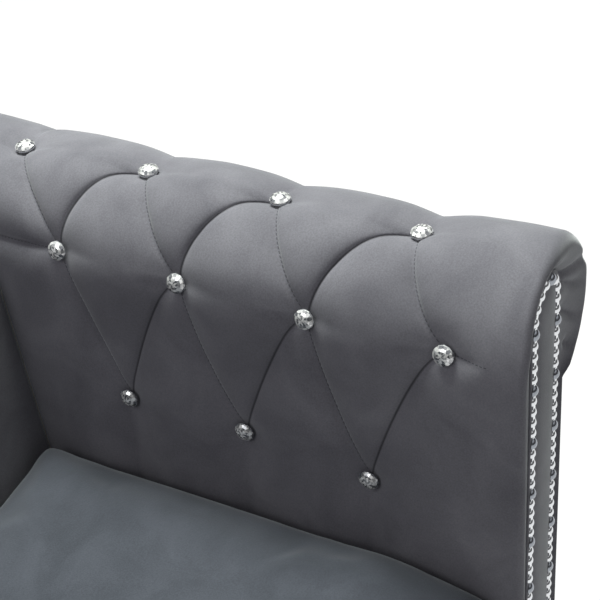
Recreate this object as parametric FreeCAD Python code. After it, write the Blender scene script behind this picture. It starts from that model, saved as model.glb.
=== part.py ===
# Three-seat chesterfield sofa: rolled arms and back of one height, deep diamond tufting
# with crystal buttons, nail-trimmed arm facings and three loose seat cushions.
# Millimetres. X runs along the sofa, +Y to the back, +Z up, origin on the floor under its middle.
import FreeCAD, Part
import math
import os

Vec = FreeCAD.Vector

# Overall layout
seat_width = 1675.0        # between the inside arms, at the seat deck
seat_depth = 505.0         # from the arm facings to the inside back, at the seat deck
deck_height = 285.0        # top of the sprung deck, where the cushions lie
base_bottom = 112.0        # underside of the base rails
skirt_bottom = 104.0       # lower edge of the front border, facings and outside panels
roll_axis_height = 636.0
roll_radius = 96.0         # inside half of the roll, from the raked face to its top
roll_outer_radius = 75.0   # outer half of the roll, from its top round and under
rake = 0.12                # outward slope of the arms and the back above the deck
wall = 117.0               # thickness of an arm or the back under its roll
fit = 0.3                  # clearance between upholstery and what it lies on

# Tufting
quilt = 22.0               # quilted cover, from its crest to its underside
button_depth = 14.0        # depth of a button's hollow below the crest
pleat_depth = 7.0
pleat_reach = 40.0         # how far a pleat draws the cover in, to each side
hollow_reach = 46.0        # how far a button draws the cover in, all round
row_pitch = 135.0          # between buttons along the middle row
low_row_height = 512.0     # lowest row of buttons on the inside face
middle_row_rise = 35.0     # middle row above the roll's axis
roll_spans = 5             # arcs from the top of the roll to the cover's outer edge
corner_margin = 60.0       # least distance from a middle-row button to the inside corner
arm_middle_first = 67.5    # first button of each row, behind the facing
arm_low_first = 145.0
arm_low_pitch = 133.0
arm_top_first = 121.0
arm_top_pitch = 143.0
arm_front_pitches = 0.45   # from the first middle-row button to the arm's front
corner_pitches = 1.2       # from the last middle-row button to the inside corner
hand_top = (0.0, 2.0, 0.0, -5.0)      # how far up the face each arm button was tied off its row,
hand_middle = (-2.0, -2.0, 1.0, 3.0)  # from the front to the back
hand_low = (-9.0, 5.0, 4.0)
section_margin = 0.1       # pitches kept clear between a wall's end and its first inner section
cover_overlap = 1.5        # the cover's outer edge reaches this far past the frame's outer face
panel_drop = 4.0           # outside panels stop this far under the roll
straight_limit = 0.02      # a span that bows less than this is straight
cut_margin = 1.0           # how far a cutting body reaches past what it cuts

# Frame timber
board = 18.0               # scroll board at the arm's front
timber = 25.0              # base rails
rail_height = 150.0        # depth of the base rails
cross_rail_height = 100.0
block_leg = 95.0           # corner block, along each rail
block_height = 40.0
post_width = 45.0
post_inner = 62.0          # posts and top rails begin this far behind the inside face
panel = 5.0                # covered outside panels
top_rail_bottom = 610.0
top_rail_height = 32.0
top_rail_depth = 56.0
tack_rail_width = 57.0
tack_gap = 1.0             # tack rails, behind the inside face
tack_rail_top = 282.0
back_tack_thickness = 12.0
strap_width = 50.0
strap_thickness = 1.2
strap_count = 8

# Arm front
facing = 9.0               # covered facing, front to back
facing_inner = 42.0        # edges of the facing, from the inside face
facing_outer = 108.0
facing_top = 716.0
lip = 12.0                 # gathered edge of the cover in front of the facing, at the inside face
lip_outer = 1.0            # the same edge at the roll's outer side
lip_round = 7.0
lip_proud = 0.6            # the wrapped lip stands this much outside the cover behind it
nail_margin = 7.0          # nail line, from the facing's edge
nail_pitch = 11.8
nails_per_tack = 5         # every fifth head is a driven nail
strip_width = 5.0
strip_thickness = 0.8
bead_radius = 4.8
bead_height = 2.8
nail_radius = 5.6
nail_height = 3.2
pin_radius = 0.9
pin_length = 8.0

# Seat
springs_per_seat = 3
seat_count = 3
spring_wire = 4.0
spring_half_width = 20.0
spring_turn = 14.0         # radius of a spring's turns
clip_wall = 1.5
clip_length = 22.0
clip_tail = 18.0
cushion_height = 155.0     # at the cushion's edge
cushion_crown = 28.0       # rise of the cushion's middle above its edge
cushion_gap = 1.2
cushion_nose = 60.0        # rounding of the cushion's top front edge
cushion_draw = 7.0         # seams draw the cushion's ends in by this much
cushion_swell = 46.0       # width over which an end swells to full height
cushion_cloth = 3.0
border_depth = 27.0
border_round = 9.0

# Buttons
crystal_radius = 9.6
crystal_table = 5.2
crystal_height = 5.0
crystal_girdle = 1.7       # height of the crystal's widest line above its cup
crystal_taper = 0.6        # the crystal narrows by this much down to its cup
cup_radius = 10.2
cup_height = 6.2
cup_rim = 1.2
cup_stem = 1.5             # radius of the cup's pointed back
button_sides = 12

# Feet
leg_radius = 30.0
leg_waist = 17.0
leg_foot = 20.0
leg_belly = 40.0           # height of the leg's widest place
leg_collar_radius = 26.0
leg_collar = 15.0          # height of the straight collar under the plate
leg_cove = 6.0             # from the collar down to the neck
leg_neck = 8.5             # straight length of the neck
leg_fullness = 0.8         # share of a swell that is reached halfway along it
leg_inset = 30.0           # leg centre, in from the base rails' inner faces
plate_side = 64.0
plate_thickness = 2.5
bolt_radius = 4.0
bolt_in_leg = 32.0
bolt_in_rail = 26.0
bolt_clearance = 0.25
glide_radius = 15.0
glide_height = 4.0
glide_chamfer = 2.0
glide_pin_radius = 1.6
glide_pin_length = 14.0
dust_cloth = 0.8
cloth_gap = 1.0            # round each leg plate

# Values that follow from the sizes above
half_seat = seat_width / 2
slope = math.atan(rake)
roll_axis = rake * (roll_axis_height - deck_height) + roll_radius / math.cos(slope)
roll_top = roll_axis_height + roll_radius
frame_outer = wall - panel
rail_top = base_bottom + rail_height
outer_axis_height = roll_top - roll_outer_radius
panel_top = outer_axis_height - roll_outer_radius - panel_drop
overall_depth = lip + seat_depth + roll_axis + roll_outer_radius
to_origin = Vec(0, lip - overall_depth / 2, 0)
front_rail_back = facing + board + timber
rear_rail_front = seat_depth + frame_outer - timber
cushion_top = deck_height + cushion_height

# The inside face runs straight up the raked wall and then round the roll
face_length = (roll_axis_height + roll_radius * math.sin(slope) - deck_height) / math.cos(slope)
pad_bottom = outer_axis_height - (roll_outer_radius - quilt - fit)
end_reach = frame_outer + rake * (pad_bottom - deck_height) + cover_overlap - roll_axis
end_angle = -math.acos(end_reach / (roll_outer_radius - quilt))
low_row = (low_row_height - deck_height) / math.cos(slope)
middle_row = face_length + roll_radius * (math.asin(middle_row_rise / roll_radius) - slope)
top_row = face_length + roll_radius * (math.pi / 2 - slope)
cover_end = top_row + roll_outer_radius * (math.pi / 2 - end_angle)

os.makedirs("parts", exist_ok=True)


def save(name, *solids):
    shape = solids[0] if len(solids) == 1 else Part.makeCompound(list(solids))
    shape = shape.copy()
    shape.translate(to_origin)
    shape.exportStep("parts/" + name + ".step")


def mirrored(shape):
    return shape.mirror(Vec(0, 0, 0), Vec(1, 0, 0))


def save_pair(name, *solids):
    save(name + "_right", *solids)
    save(name + "_left", *[mirrored(solid) for solid in solids])


def block(x0, x1, y0, y1, z0, z1):
    return Part.makeBox(x1 - x0, y1 - y0, z1 - z0, Vec(x0, y0, z0))


def polygon_face(points):
    return Part.Face(Part.makePolygon(points + [points[0]]))


def span(a, m, b):
    """An arc from a to b through m, or a straight edge where the three are in line."""
    bend = (m - a).cross(b - a).Length / max((b - a).Length, 1e-6)
    if bend < straight_limit:
        return Part.makeLine(a, b)
    return Part.Arc(a, m, b).toShape()


def stacked(rings):
    """A solid with flat sides from polygons of equal count, one above the other."""
    faces = [polygon_face(list(reversed(rings[0]))), polygon_face(rings[-1])]
    for low, high in zip(rings, rings[1:]):
        for i in range(len(low)):
            j = (i + 1) % len(low)
            faces.append(polygon_face([low[i], low[j], high[j], high[i]]))
    return Part.Solid(Part.Shell(faces))


def turned(profile, centre):
    """A body turned on a vertical axis from (radius, height) points."""
    points = [centre + Vec(r, 0, z) for r, z in profile]
    return polygon_face(points).revolve(centre, Vec(0, 0, 1), 360)


def lean(z):
    return rake * max(0.0, z - deck_height)


def on_arm(p, along, z):
    return Vec(half_seat + p, along, z)


def on_back(p, along, z):
    return Vec(along, seat_depth + p, z)


def wall_bar(place, v0, v1, z0, z1, start, end):
    """A member of a raked wall: v counts from the inside face, start and end lie along the wall."""
    heights = [z0, deck_height, z1] if z0 < deck_height < z1 else [z0, z1]
    outline = [place(v0 + lean(z), start, z) for z in heights]
    outline += [place(v1 + lean(z), start, z) for z in reversed(heights)]
    return polygon_face(outline).extrude(place(0, end, 0) - place(0, start, 0))


def past_mitre(gap):
    """The space behind the vertical mitre plane at the right inside corner."""
    reach = 4 * (wall + roll_radius)
    corner = Vec(half_seat, seat_depth + gap, 0)
    points = [corner + Vec(-reach, -reach, 0), corner + Vec(reach, reach, 0)]
    points.append(corner + Vec(-reach, reach, 0))
    return polygon_face(points).extrude(Vec(0, 0, 2 * roll_top))


def before_mitre(gap):
    """The space in front of the mitre plane at the right inside corner."""
    reach = 4 * (wall + roll_radius)
    corner = Vec(half_seat, seat_depth - gap, 0)
    points = [corner + Vec(-reach, -reach, 0), corner + Vec(reach, -reach, 0)]
    points.append(corner + Vec(reach, reach, 0))
    return polygon_face(points).extrude(Vec(0, 0, 2 * roll_top))


def mitred_arm(shape, gap=0.0):
    return shape.cut(past_mitre(gap))


def mitred_back(shape, gap=0.0):
    cutter = before_mitre(gap)
    return shape.cut(cutter).cut(mirrored(cutter))


def drill(shape, cylinders):
    return shape.cut(Part.makeCompound(cylinders))


# Base frame

def leg_places():
    side = half_seat + frame_outer - timber - leg_inset
    front = front_rail_back + leg_inset
    rear = rear_rail_front - leg_inset
    middle = seat_width * (1 / seat_count - 0.5)
    return {
        "leg_front_right": Vec(side, front, 0),
        "leg_front_left": Vec(-side, front, 0),
        "leg_rear_right": Vec(side, rear, 0),
        "leg_rear_left": Vec(-side, rear, 0),
        "leg_middle_right": Vec(-middle, (front + rear) / 2, 0),
        "leg_middle_left": Vec(middle, (front + rear) / 2, 0),
    }


def bolt_holes():
    radius = bolt_radius + bolt_clearance
    low = base_bottom - plate_thickness - bolt_in_leg - bolt_clearance
    depth = bolt_in_leg + plate_thickness + bolt_in_rail + 2 * bolt_clearance
    return [Part.makeCylinder(radius, depth, place + Vec(0, 0, low)) for place in leg_places().values()]


def corner_block(x, y, to_x, to_y):
    points = [Vec(x, y, base_bottom), Vec(x + to_x, y, base_bottom), Vec(x, y + to_y, base_bottom)]
    return polygon_face(points).extrude(Vec(0, 0, block_height))


def base_frame():
    outer = half_seat + frame_outer
    front = facing + board
    rear = seat_depth + frame_outer
    save("front_rail", block(-outer, outer, front, front_rail_back, base_bottom, rail_top))
    save("rear_rail", block(-outer, outer, rear_rail_front, rear, base_bottom, rail_top))
    save_pair("side_rail", block(outer - timber, outer, front_rail_back, rear_rail_front,
                                 base_bottom, rail_top))
    holes = bolt_holes()
    cross = []
    for i in range(1, seat_count):
        x = seat_width * (i / seat_count - 0.5)
        rail = block(x - timber / 2, x + timber / 2, front_rail_back, rear_rail_front,
                     base_bottom, base_bottom + cross_rail_height)
        cross.append(drill(rail, holes))
    save("cross_rails", *cross)
    side = outer - timber
    blocks = []
    for x, to_x in ((side, -block_leg), (-side, block_leg)):
        blocks.append(drill(corner_block(x, front_rail_back, to_x, block_leg), holes))
        blocks.append(drill(corner_block(x, rear_rail_front, to_x, -block_leg), holes))
    save("corner_blocks", *blocks)


# Frame of the arms and the back

def roll_rim(angle, inset):
    """Point (p, z) of the roll's section, with its smaller outer half past the top."""
    inner = angle >= math.pi / 2
    radius = (roll_radius if inner else roll_outer_radius) - inset
    height = roll_axis_height if inner else outer_axis_height
    return roll_axis + radius * math.cos(angle), height + radius * math.sin(angle)


def roll_arcs(place, along, inset, last):
    """The roll's section as arcs, from the inside face over the top to the angle last."""
    start = math.pi - slope
    top = math.pi / 2
    angles = [start, (start + top) / 2, top, top / 2, 0.0, last / 2, last]

    def rim(angle):
        p, z = roll_rim(angle, inset)
        return place(p, along, z)

    return [Part.Arc(*[rim(angle) for angle in angles[i:i + 3]]).toShape() for i in (0, 2, 4)]


def roll_face(place, along, inset):
    """The roll's section, closed by a straight line from under its outer half to the inside face."""
    arcs = roll_arcs(place, along, inset, -math.pi / 2)
    ends = [arcs[-1].lastVertex().Point, arcs[0].firstVertex().Point]
    return Part.Face(Part.Wire(arcs + [Part.makeLine(*ends)]))


def scroll_board():
    """The board that gives the arm its keyhole front, inset by the quilted cover."""
    inner = quilt + fit
    wall_part = wall_bar(on_arm, inner, frame_outer, base_bottom, roll_axis_height, facing, facing + board)
    scroll = roll_face(on_arm, facing, inner).extrude(Vec(0, board, 0))
    return wall_part.fuse(scroll).removeSplitter()


def corner_post():
    def square(z):
        low = post_inner + lean(z)
        high = frame_outer + lean(z)
        corners = ((low, low), (high, low), (high, high), (low, high))
        return [Vec(half_seat + px, seat_depth + py, z) for px, py in corners]
    return stacked([square(rail_top), square(deck_height), square(top_rail_bottom)])


def arm_frame():
    behind = facing + board
    far = seat_depth + wall + roll_radius
    middle = (behind + seat_depth) / 2
    save_pair("arm_scroll_board", scroll_board())
    save_pair("arm_post", wall_bar(on_arm, post_inner, frame_outer, rail_top, top_rail_bottom,
                                   middle - post_width / 2, middle + post_width / 2))
    top_rail = wall_bar(on_arm, post_inner, post_inner + top_rail_depth, top_rail_bottom,
                        top_rail_bottom + top_rail_height, behind, far)
    save_pair("arm_top_rail", mitred_arm(top_rail))
    save_pair("arm_tack_rail", block(half_seat + tack_gap, half_seat + tack_gap + tack_rail_width, behind,
                                     seat_depth + frame_outer, rail_top, tack_rail_top))
    save_pair("corner_post", corner_post())


def back_frame():
    far = half_seat + wall + roll_radius
    top_rail = wall_bar(on_back, post_inner, post_inner + top_rail_depth, top_rail_bottom,
                        top_rail_bottom + top_rail_height, -far, far)
    save("back_top_rail", mitred_back(top_rail))
    end = half_seat + tack_gap
    front = seat_depth + tack_gap
    save("back_tack_rail", block(-end, end, front, front + tack_rail_width,
                                 tack_rail_top - back_tack_thickness, tack_rail_top))
    uprights = []
    for i in range(1, seat_count):
        x = seat_width * (i / seat_count - 0.5)
        uprights.append(wall_bar(on_back, post_inner, frame_outer, rail_top, top_rail_bottom,
                                 x - post_width / 2, x + post_width / 2))
    save("back_uprights", *uprights)
    straps = []
    for i in range(strap_count):
        x = seat_width * ((i + 0.5) / strap_count - 0.5)
        straps.append(wall_bar(on_back, post_inner - strap_thickness, post_inner, tack_rail_top,
                               top_rail_bottom + top_rail_height, x - strap_width / 2, x + strap_width / 2))
    save("back_webbing", *straps)


# Foam under the quilted covers

def wall_pad(place, start, end):
    inner = (quilt + fit) / math.cos(slope)
    outer = post_inner - strap_thickness - fit
    low = deck_height
    slab = wall_bar(place, inner, outer, low, roll_axis_height, start, end)
    roll = roll_face(place, start, quilt + fit).extrude(place(0, end, 0) - place(0, start, 0))
    rail = wall_bar(place, outer, post_inner + top_rail_depth + fit, top_rail_bottom - fit,
                    top_rail_bottom + top_rail_height + fit, start, end)
    posts = wall_bar(place, outer, frame_outer + fit, low, top_rail_bottom, start, end)
    return slab.fuse(roll).cut(rail.fuse(posts)).removeSplitter()


def foam_pads():
    start = facing + board + fit
    far = seat_depth + 2 * (roll_axis + roll_radius)
    save_pair("arm_pad", mitred_arm(wall_pad(on_arm, start, far), -fit))
    long_end = half_seat + 2 * (roll_axis + roll_radius)
    save("back_pad", mitred_back(wall_pad(on_back, -long_end, long_end), -fit))


# Tufted covers: the rows of buttons are half a pitch apart, so the pleats form diamonds.
# q counts pitches along a wall, s is the distance up the inside face and over the roll.

def crest(s):
    """Point (p, z) of the cover's crest and the direction (p, z) into the wall."""
    if s <= face_length:
        return (s * math.sin(slope), deck_height + s * math.cos(slope)), (math.cos(slope), -math.sin(slope))
    if s <= top_row:
        angle = math.pi / 2 + (top_row - s) / roll_radius
    else:
        angle = math.pi / 2 - (s - top_row) / roll_outer_radius
    return roll_rim(angle, 0.0), (-math.cos(angle), -math.sin(angle))


def arm_layout():
    corner = seat_depth + crest(middle_row)[0][0]
    last = math.floor((corner - corner_margin - arm_middle_first) / row_pitch)
    middle = [float(i) for i in range(last + 1)]
    rows = {
        "low": dict(s=low_row, buttons=[q + 0.5 for q in middle[:-1]], first=arm_low_first,
                    pitch=arm_low_pitch, hand=hand_low),
        "middle": dict(s=middle_row, buttons=middle, first=arm_middle_first, pitch=row_pitch,
                       hand=hand_middle),
        "top": dict(s=top_row, buttons=[q + 0.5 for q in middle], first=arm_top_first,
                    pitch=arm_top_pitch, hand=hand_top),
    }
    return dict(rows=rows, place=on_arm, q_low=-arm_front_pitches, q_high=last + corner_pitches,
                low_end=lambda p: facing, high_end=lambda p: seat_depth + p - 2 * fit)


def back_layout():
    corner = half_seat + crest(middle_row)[0][0]
    last = math.floor((corner - corner_margin) / row_pitch)
    middle = [float(i) for i in range(-last, last + 1)]
    between = [q + 0.5 for q in middle[:-1]]
    top = [middle[0] - 0.5] + between + [middle[-1] + 0.5]
    rows = {
        "low": dict(s=low_row, buttons=between, first=between[0] * row_pitch, pitch=row_pitch, hand=()),
        "middle": dict(s=middle_row, buttons=middle, first=middle[0] * row_pitch, pitch=row_pitch, hand=()),
        "top": dict(s=top_row, buttons=top, first=top[0] * row_pitch, pitch=row_pitch, hand=()),
    }
    return dict(rows=rows, place=on_back, low_end=lambda p: -half_seat - p, high_end=lambda p: half_seat + p,
                q_low=-last - corner_pitches, q_high=last + corner_pitches)


def row_along(layout, row, q, p):
    """Where pitch q lies along a wall on one row, drawn out evenly to the wall's ends past its buttons."""
    first, last = row["buttons"][0], row["buttons"][-1]
    if q < first:
        end = layout["low_end"](p)
        return end + (row["first"] - end) * (q - layout["q_low"]) / (first - layout["q_low"])
    reach = row["first"] + row["pitch"] * (min(q, last) - first)
    if q <= last:
        return reach
    end = layout["high_end"](p)
    return reach + (end - reach) * (q - last) / (layout["q_high"] - last)


def between_knots(knots, x):
    """Straight-line value at x from (x, value) pairs in order."""
    for (x0, y0), (x1, y1) in zip(knots, knots[1:]):
        if x <= x1:
            return y0 + (y1 - y0) * (x - x0) / (x1 - x0)
    return knots[-1][1]


def hand_set(layout, q, s):
    """Where a place of the even pattern lies up the face once the buttons are tied by hand."""
    knots = [(0.0, 0.0)]
    for name in ("low", "middle", "top"):
        row = layout["rows"][name]
        ends = [(layout["q_low"], 0.0)] + list(zip(row["buttons"], row["hand"])) + [(layout["q_high"], 0.0)]
        knots.append((row["s"], between_knots(ends, q)))
    return s + between_knots(knots + [(cover_end, 0.0)], s)


def quilt_point(layout, q, s, inset):
    (p, z), (into_p, into_z) = crest(s)
    p += inset * into_p
    z += inset * into_z
    rows = layout["rows"]
    low, middle, top = [row_along(layout, rows[name], q, p) for name in ("low", "middle", "top")]
    if s <= middle_row:
        share = max(0.0, (s - low_row) / (middle_row - low_row))
        along = low + (middle - low) * share
    else:
        share = min(1.0, (s - middle_row) / (top_row - middle_row))
        along = middle + (top - middle) * share
    return layout["place"](p, along, z)


def pleats(layout):
    """Every pleat as a pair of (q, s) ends."""
    rows = layout["rows"]
    lines = []
    for q in rows["middle"]["buttons"]:
        for name in ("low", "top"):
            for side in (q - 0.5, q + 0.5):
                if side in rows[name]["buttons"]:
                    lines.append(((q, middle_row), (side, rows[name]["s"])))
    lines += [((q, low_row), (q, 0.0)) for q in rows["low"]["buttons"]]
    lines += [((q, top_row), (q, cover_end)) for q in rows["top"]["buttons"]]
    lines.append(((rows["middle"]["buttons"][0], middle_row), (layout["q_low"], middle_row)))
    lines.append(((rows["middle"]["buttons"][-1], middle_row), (layout["q_high"], middle_row)))
    return lines


def distance_to_pleat(q, s, line):
    (q1, s1), (q2, s2) = line
    ax, ay = (q2 - q1) * row_pitch, s2 - s1
    bx, by = (q - q1) * row_pitch, s - s1
    share = max(0.0, min(1.0, (ax * bx + ay * by) / (ax * ax + ay * ay)))
    return math.hypot(bx - share * ax, by - share * ay)


def draw_in(layout, lines, q, s):
    """Depth of the cover below its crest, fading out at the wall's two ends."""
    if q in (layout["q_low"], layout["q_high"]):
        return 0.0
    away = min(distance_to_pleat(q, s, line) for line in lines)
    depth = pleat_depth * max(0.0, 1 - away / pleat_reach) ** 2
    for row in layout["rows"].values():
        for button in row["buttons"]:
            away = math.hypot((q - button) * row_pitch, s - row["s"])
            depth = max(depth, button_depth * max(0.0, 1 - away / hollow_reach) ** 2)
    return depth


def evenly(start, end, count):
    return [start + (end - start) * i / count for i in range(count + 1)]


def cover_section(layout, lines, q):
    """The cover's section at pitch q: spans between the rows outside, its plain underside inside."""
    knots = [0.0, low_row, (low_row + middle_row) / 2, middle_row, (middle_row + top_row) / 2]
    knots += evenly(top_row, cover_end, roll_spans)

    def outside(s):
        return quilt_point(layout, q, hand_set(layout, q, s), draw_in(layout, lines, q, s))

    def underside(s):
        return quilt_point(layout, q, s, quilt)

    edges = [span(outside(a), outside((a + b) / 2), outside(b)) for a, b in zip(knots, knots[1:])]
    edges.append(Part.makeLine(outside(cover_end), underside(cover_end)))
    inner = evenly(cover_end, face_length, 2 * roll_spans - 1) + [0.0]
    edges += [span(underside(a), underside((a + b) / 2), underside(b)) for a, b in zip(inner, inner[1:])]
    edges.append(Part.makeLine(underside(0.0), outside(0.0)))
    return Part.Wire(edges)


def quarter_pitches(layout):
    first = math.ceil((layout["q_low"] + section_margin) * 4)
    last = math.floor((layout["q_high"] - section_margin) * 4)
    return [layout["q_low"]] + [i / 4 for i in range(first, last + 1)] + [layout["q_high"]]


def tufted_cover(layout):
    """The quilted cover, lofted from section to section and pressed in under each button."""
    lines = pleats(layout)
    sections = [cover_section(layout, lines, q) for q in quarter_pitches(layout)]
    return drill(Part.makeLoft(sections, True, True), placed(button_seat(), button_places(layout)))


def arm_outline(inset, y):
    """The arm's front outline: inside face, roll and outer face, down to the skirt."""
    drop = inset / math.cos(slope)
    radius = roll_outer_radius - inset
    outer = wall - inset
    under = -math.acos((outer + lean(outer_axis_height - radius) - roll_axis) / radius)
    arcs = roll_arcs(on_arm, y, inset, under)
    left = [on_arm(drop, y, skirt_bottom), on_arm(drop, y, deck_height), arcs[0].firstVertex().Point]
    right = [arcs[-1].lastVertex().Point, on_arm(outer, y, deck_height), on_arm(outer, y, skirt_bottom)]
    edges = [Part.makeLine(a, b) for a, b in zip(left, left[1:])]
    edges += arcs
    edges += [Part.makeLine(a, b) for a, b in zip(right, right[1:])]
    edges.append(Part.makeLine(right[-1], left[0]))
    return Part.Wire(edges)


def facing_outline(grow, y):
    """The facing's outline: raked sides under an arched top."""
    arch = (facing_outer - facing_inner) / 2
    spring = facing_top - arch
    low = skirt_bottom - grow

    def at(v, z):
        return on_arm(v + lean(z), y, z)

    inner, outer = facing_inner - grow, facing_outer + grow
    middle = (inner + outer) / 2
    bow = (arch + grow) * math.sqrt(0.5)
    left = [at(inner, low), at(inner, deck_height), at(inner, spring)]
    right = [at(outer, spring), at(outer, deck_height), at(outer, low)]
    crown = at(middle, facing_top + grow)
    edges = [Part.makeLine(a, b) for a, b in zip(left, left[1:])]
    edges.append(Part.Arc(left[-1], at(middle - bow, spring + bow), crown).toShape())
    edges.append(Part.Arc(crown, at(middle + bow, spring + bow), right[0]).toShape())
    edges += [Part.makeLine(a, b) for a, b in zip(right, right[1:])]
    edges.append(Part.makeLine(right[-1], left[0]))
    return Part.Wire(edges)


def arm_lip():
    """The cover's gathered edge, wrapped round the arm's front and tucked in beside the facing."""
    ring = Part.Face(arm_outline(-lip_proud, -2 * lip)).extrude(Vec(0, 2 * lip + facing, 0))
    start = Vec(half_seat + lip_round - lip_proud, -lip, 0)
    across = Vec(half_seat + roll_axis + roll_outer_radius, -lip_outer, 0) - start
    back_line = [start - across, start + across * 2]
    front_line = [Vec(point.x, -3 * lip - across.y, 0) for point in reversed(back_line)]
    ring = ring.cut(polygon_face(back_line + front_line).extrude(Vec(0, 0, 2 * roll_top)))
    square_to_it = Vec(across.y, -across.x, 0).normalize()

    def on_front(edge):
        middle = edge.valueAt((edge.FirstParameter + edge.LastParameter) / 2)
        points = [vertex.Point for vertex in edge.Vertexes] + [middle]
        return max(abs((point - start).dot(square_to_it)) for point in points) < straight_limit

    front = [edge for edge in ring.Edges if on_front(edge) and edge.BoundBox.ZMax > skirt_bottom + cut_margin]
    ring = ring.makeFillet(lip_round, front)
    facing_room = Part.Face(facing_outline(fit, -lip - cut_margin))
    return ring.cut(facing_room.extrude(Vec(0, lip + facing + 2 * cut_margin, 0)))


def covers():
    arm = tufted_cover(arm_layout()).fuse(arm_lip())
    save_pair("arm_cover", arm)
    save("back_cover", tufted_cover(back_layout()))


# Crystal buttons on metal cups, seated in the hollows

def ring_points(radius, height):
    turns = [2 * math.pi * i / button_sides for i in range(button_sides)]
    return [Vec(radius * math.cos(t), radius * math.sin(t), height) for t in turns]


def button_cup():
    rings = [(cup_stem, 0.0), (cup_radius, cup_height - cup_rim), (cup_radius, cup_height)]
    return stacked([ring_points(r, h) for r, h in rings])


def button_seat():
    rings = [(cup_stem + fit, -fit), (cup_radius + fit, cup_height - cup_rim - fit),
             (cup_radius + fit, cup_height + crystal_height)]
    return stacked([ring_points(r, h) for r, h in rings])


def button_crystal():
    rings = [(crystal_radius - crystal_taper, cup_height), (crystal_radius, cup_height + crystal_girdle),
             (crystal_table, cup_height + crystal_height)]
    return stacked([ring_points(r, h) for r, h in rings])


def button_places(layout):
    places = []
    for row in layout["rows"].values():
        for q in row["buttons"]:
            s = hand_set(layout, q, row["s"])
            seat = quilt_point(layout, q, s, button_depth)
            into_p, into_z = crest(s)[1]
            out = layout["place"](-into_p, 0, -into_z) - layout["place"](0, 0, 0)
            places.append(FreeCAD.Placement(seat + out * fit, FreeCAD.Rotation(Vec(0, 0, 1), out)))
    return places


def placed(shape, places):
    copies = []
    for place in places:
        copy = shape.copy()
        copy.Placement = place
        copies.append(copy)
    return copies


def buttons():
    arm = button_places(arm_layout())
    back = button_places(back_layout())
    arm_cups = placed(button_cup(), arm)
    save("button_cups", *arm_cups, *[mirrored(cup) for cup in arm_cups], *placed(button_cup(), back))
    save_pair("crystal_buttons", *placed(button_crystal(), arm))
    save("crystal_buttons_back", *placed(button_crystal(), back))


# Arm facing with its nail trim

def nail_places():
    """Evenly spaced points up the facing's inner side, over its arch and down the outer side."""
    path = facing_outline(-nail_margin, 0.0)
    edges = path.OrderedEdges[:-1]
    trim = Part.Wire(edges)
    count = int(trim.Length // nail_pitch)
    return trim.discretize(Number=count + 1)[1:-1]


def dome(radius, height, point):
    """A shallow cap on the facing's front, bulging forwards."""
    sphere = (radius * radius + height * height) / (2 * height)
    centre = point + Vec(0, sphere - height, 0)
    rim = point + Vec(radius, 0, 0)
    crown = point + Vec(0, -height, 0)
    half = math.atan2(radius, sphere - height) / 2
    between = centre + Vec(sphere * math.sin(half), -sphere * math.cos(half), 0)
    edges = [Part.makeLine(point, rim), Part.Arc(rim, between, crown).toShape(), Part.makeLine(crown, point)]
    return Part.Face(Part.Wire(edges)).revolve(point, Vec(0, 1, 0), 360)


def arm_facing():
    points = nail_places()
    driven = points[nails_per_tack // 2::nails_per_tack]
    beads = [point for point in points if point not in driven]
    outer = Part.Face(facing_outline(strip_width / 2 - nail_margin, 0))
    inner = Part.Face(facing_outline(-strip_width / 2 - nail_margin, 0))
    strip = outer.cut(inner)
    foot = skirt_bottom + nail_margin + strip_width
    below = block(half_seat - wall, half_seat + 2 * wall, -lip, facing, 0, foot)
    strip = strip.extrude(Vec(0, -strip_thickness, 0)).cut(below)
    holes = [Part.makeCylinder(pin_radius + fit / 2, pin_length + 2 * strip_thickness + fit,
                               point - Vec(0, 2 * strip_thickness, 0), Vec(0, 1, 0)) for point in driven]
    strip = drill(strip, holes).fuse([dome(bead_radius, bead_height, point) for point in beads])
    save_pair("nail_strip", strip)
    panel_body = Part.Face(facing_outline(0, 0)).extrude(Vec(0, facing, 0))
    save_pair("arm_facing", drill(panel_body, holes))
    nails = []
    for point in driven:
        head = dome(nail_radius, nail_height, point - Vec(0, strip_thickness, 0))
        pin = Part.makeCylinder(pin_radius, pin_length + strip_thickness, point - Vec(0, strip_thickness, 0),
                                Vec(0, 1, 0))
        nails.append(head.fuse(pin))
    save_pair("trim_nails", *nails)


# Outside panels, front border and dust cloth

def outside_panels():
    past = wall + roll_radius
    arm = wall_bar(on_arm, frame_outer, wall, skirt_bottom, panel_top, facing, seat_depth + past)
    save_pair("outside_arm", mitred_arm(arm))
    back = wall_bar(on_back, frame_outer, wall, skirt_bottom, panel_top, -half_seat - past, half_seat + past)
    save("outside_back", mitred_back(back))
    end = half_seat - lip_proud - fit
    border = block(-end, end, 0, border_depth, skirt_bottom, deck_height - fit)
    long_edges = [edge for edge in border.Edges
                  if edge.BoundBox.YMax < 1 and edge.BoundBox.XLength > seat_width / 2]
    save("front_border", border.makeFillet(border_round, long_edges))
    outer = half_seat + frame_outer
    cloth = block(-outer, outer, facing + board, seat_depth + frame_outer,
                  base_bottom - dust_cloth, base_bottom)
    gap = plate_side / 2 + cloth_gap
    cut = [block(c.x - gap, c.x + gap, c.y - gap, c.y + gap, 0, roll_top) for c in leg_places().values()]
    save("dust_cloth", drill(cloth, cut))


# Seat springs, their clips and the padded deck

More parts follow.
